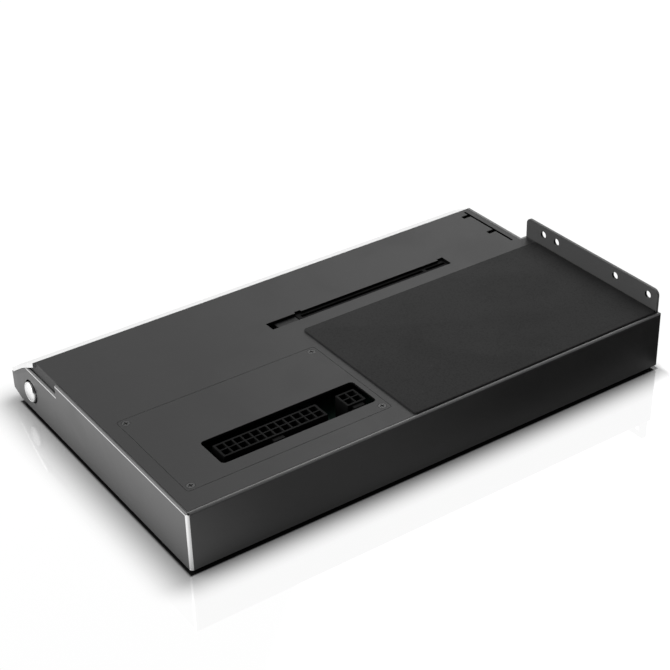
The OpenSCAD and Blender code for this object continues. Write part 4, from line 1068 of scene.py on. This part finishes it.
def rows(u, v, z, along, across):
    """Places from u and v on. Along and across each give a pitch in millimetres and a count."""
    return [at(u + along[0] * i, v + across[0] * k, z)
            for i in range(along[1]) for k in range(across[1])]


# One solder joint: height and radius of the cone, and of the tail through it
SOLDER_PROFILE = [(0.0, 0.00095), (-0.00025, 0.00072), (-0.0006, 0.00048), (-0.0008, 0.0004),
                  (-0.0014, 0.00038), (-0.0015, 0.0003)]
SOLDER_SIDES = 10


def solder_mesh():
    """One solder joint: a low cone with the tail of a pin through it, hanging down."""
    rings = [[(radius * math.cos(turn), radius * math.sin(turn), z)
              for turn in round_turns(SOLDER_SIDES)] for z, radius in SOLDER_PROFILE]
    return mesh_from(loft(rings), "solder_joint")


# First pin of each socket, and how many pins it has along the wall. Each has two rows
SOCKET_PINS = [(35.0, 12), (97.0, 2)]
SOCKET_ROW_V = 27.1
SOCKET_PIN_PITCH = 4.2
# The tails of the slot's contacts lie in two rows, and none where its key is
SLOT_TAIL_INSET, SLOT_TAIL_PITCH, SLOT_TAILS = 0.25, 1.0, 82
SLOT_TAIL_V, SLOT_TAIL_ROW_GAP = 98.7, 3.0
SLOT_KEY_START_U, SLOT_KEY_END_U = 192.0, 195.0
SLOT_SOLDER_SCALE = (0.42, 0.42, 0.5)
# Chip capacitors: the first place, the count along, and the pitch and count across
CHIP_PITCH = 3.2
CHIP_GROUPS = [
    (136, 78.5, 9, (2.4, 2)), (134, 88.0, 9, (2.4, 1)), (196, 66.0, 6, (2.6, 4)),
    (206, 28.0, 8, (2.6, 3)), (62, 78.0, 4, (2.6, 2)), (60, 92.0, 4, (2.6, 2)),
    (112, 112.0, 12, (2.6, 2)), (170, 112.0, 10, (2.6, 2))]
CHIP_SIZE = (0.0012, 0.0012, 0.0009)
END_CAP_SIZE, END_CAP_OFFSET = (0.0004, 0.00125, 0.00095), 0.0008
# Test pads are solder joints pressed flat, upwards
PAD_GROUPS = [(20, 112.0, 6, 2), (214, 84.0, 5, 3)]
PAD_PITCH = 2.54
PAD_SCALE = (0.7, 0.7, -0.04)


def make_board_details():
    """Solder joints, rows of chip capacitors with their end caps, and test pads."""
    tree = make_repeat_tree("repeat_on_points")
    pins = []
    for u, count in SOCKET_PINS:
        pins += rows(u, SOCKET_ROW_V, BOARD_UNDER, (SOCKET_PIN_PITCH, count), (SOCKET_PIN_PITCH, 2))
    repeat_piece(tree, "socket_solder", solder_mesh(), pins, "plated_steel")
    slot_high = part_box("slot_contacts")[1]
    first = BUTTON_END_X / MM - slot_high.x / MM + SLOT_TAIL_INSET
    tails = rows(first, SLOT_TAIL_V, BOARD_UNDER, (SLOT_TAIL_PITCH, SLOT_TAILS),
                 (SLOT_TAIL_ROW_GAP, 2))
    tails = [place for place in tails
             if not SLOT_KEY_START_U < BUTTON_END_X / MM - place.x / MM < SLOT_KEY_END_U]
    repeat_piece(tree, "slot_solder", solder_mesh(), tails, "plated_steel", SLOT_SOLDER_SCALE)
    bodies = []
    for u, v, count, across in CHIP_GROUPS:
        bodies += rows(u, v, BOARD_TOP, (CHIP_PITCH, count), across)
    ends = [(x + side * END_CAP_OFFSET, y, z) for x, y, z in bodies for side in (-1, 1)]
    repeat_piece(tree, "chip_capacitors", small_part_mesh("ceramic_block", CHIP_SIZE), bodies,
                 "coil_ferrite")
    repeat_piece(tree, "chip_end_caps", small_part_mesh("end_cap", END_CAP_SIZE), ends,
                 "plated_steel")
    pads = []
    for u, v, along, across in PAD_GROUPS:
        pads += rows(u, v, BOARD_TOP, (PAD_PITCH, along), (PAD_PITCH, across))
    repeat_piece(tree, "test_pads", solder_mesh(), pads, "gold_contact", PAD_SCALE)


make_camera()
make_finishes()
paint_nodes()
make_mat()
make_button()
make_spring()
make_lead()
make_board_details()
make_floor()
make_world()
make_lamps()
bpy.context.scene.view_settings.view_transform = "Standard"
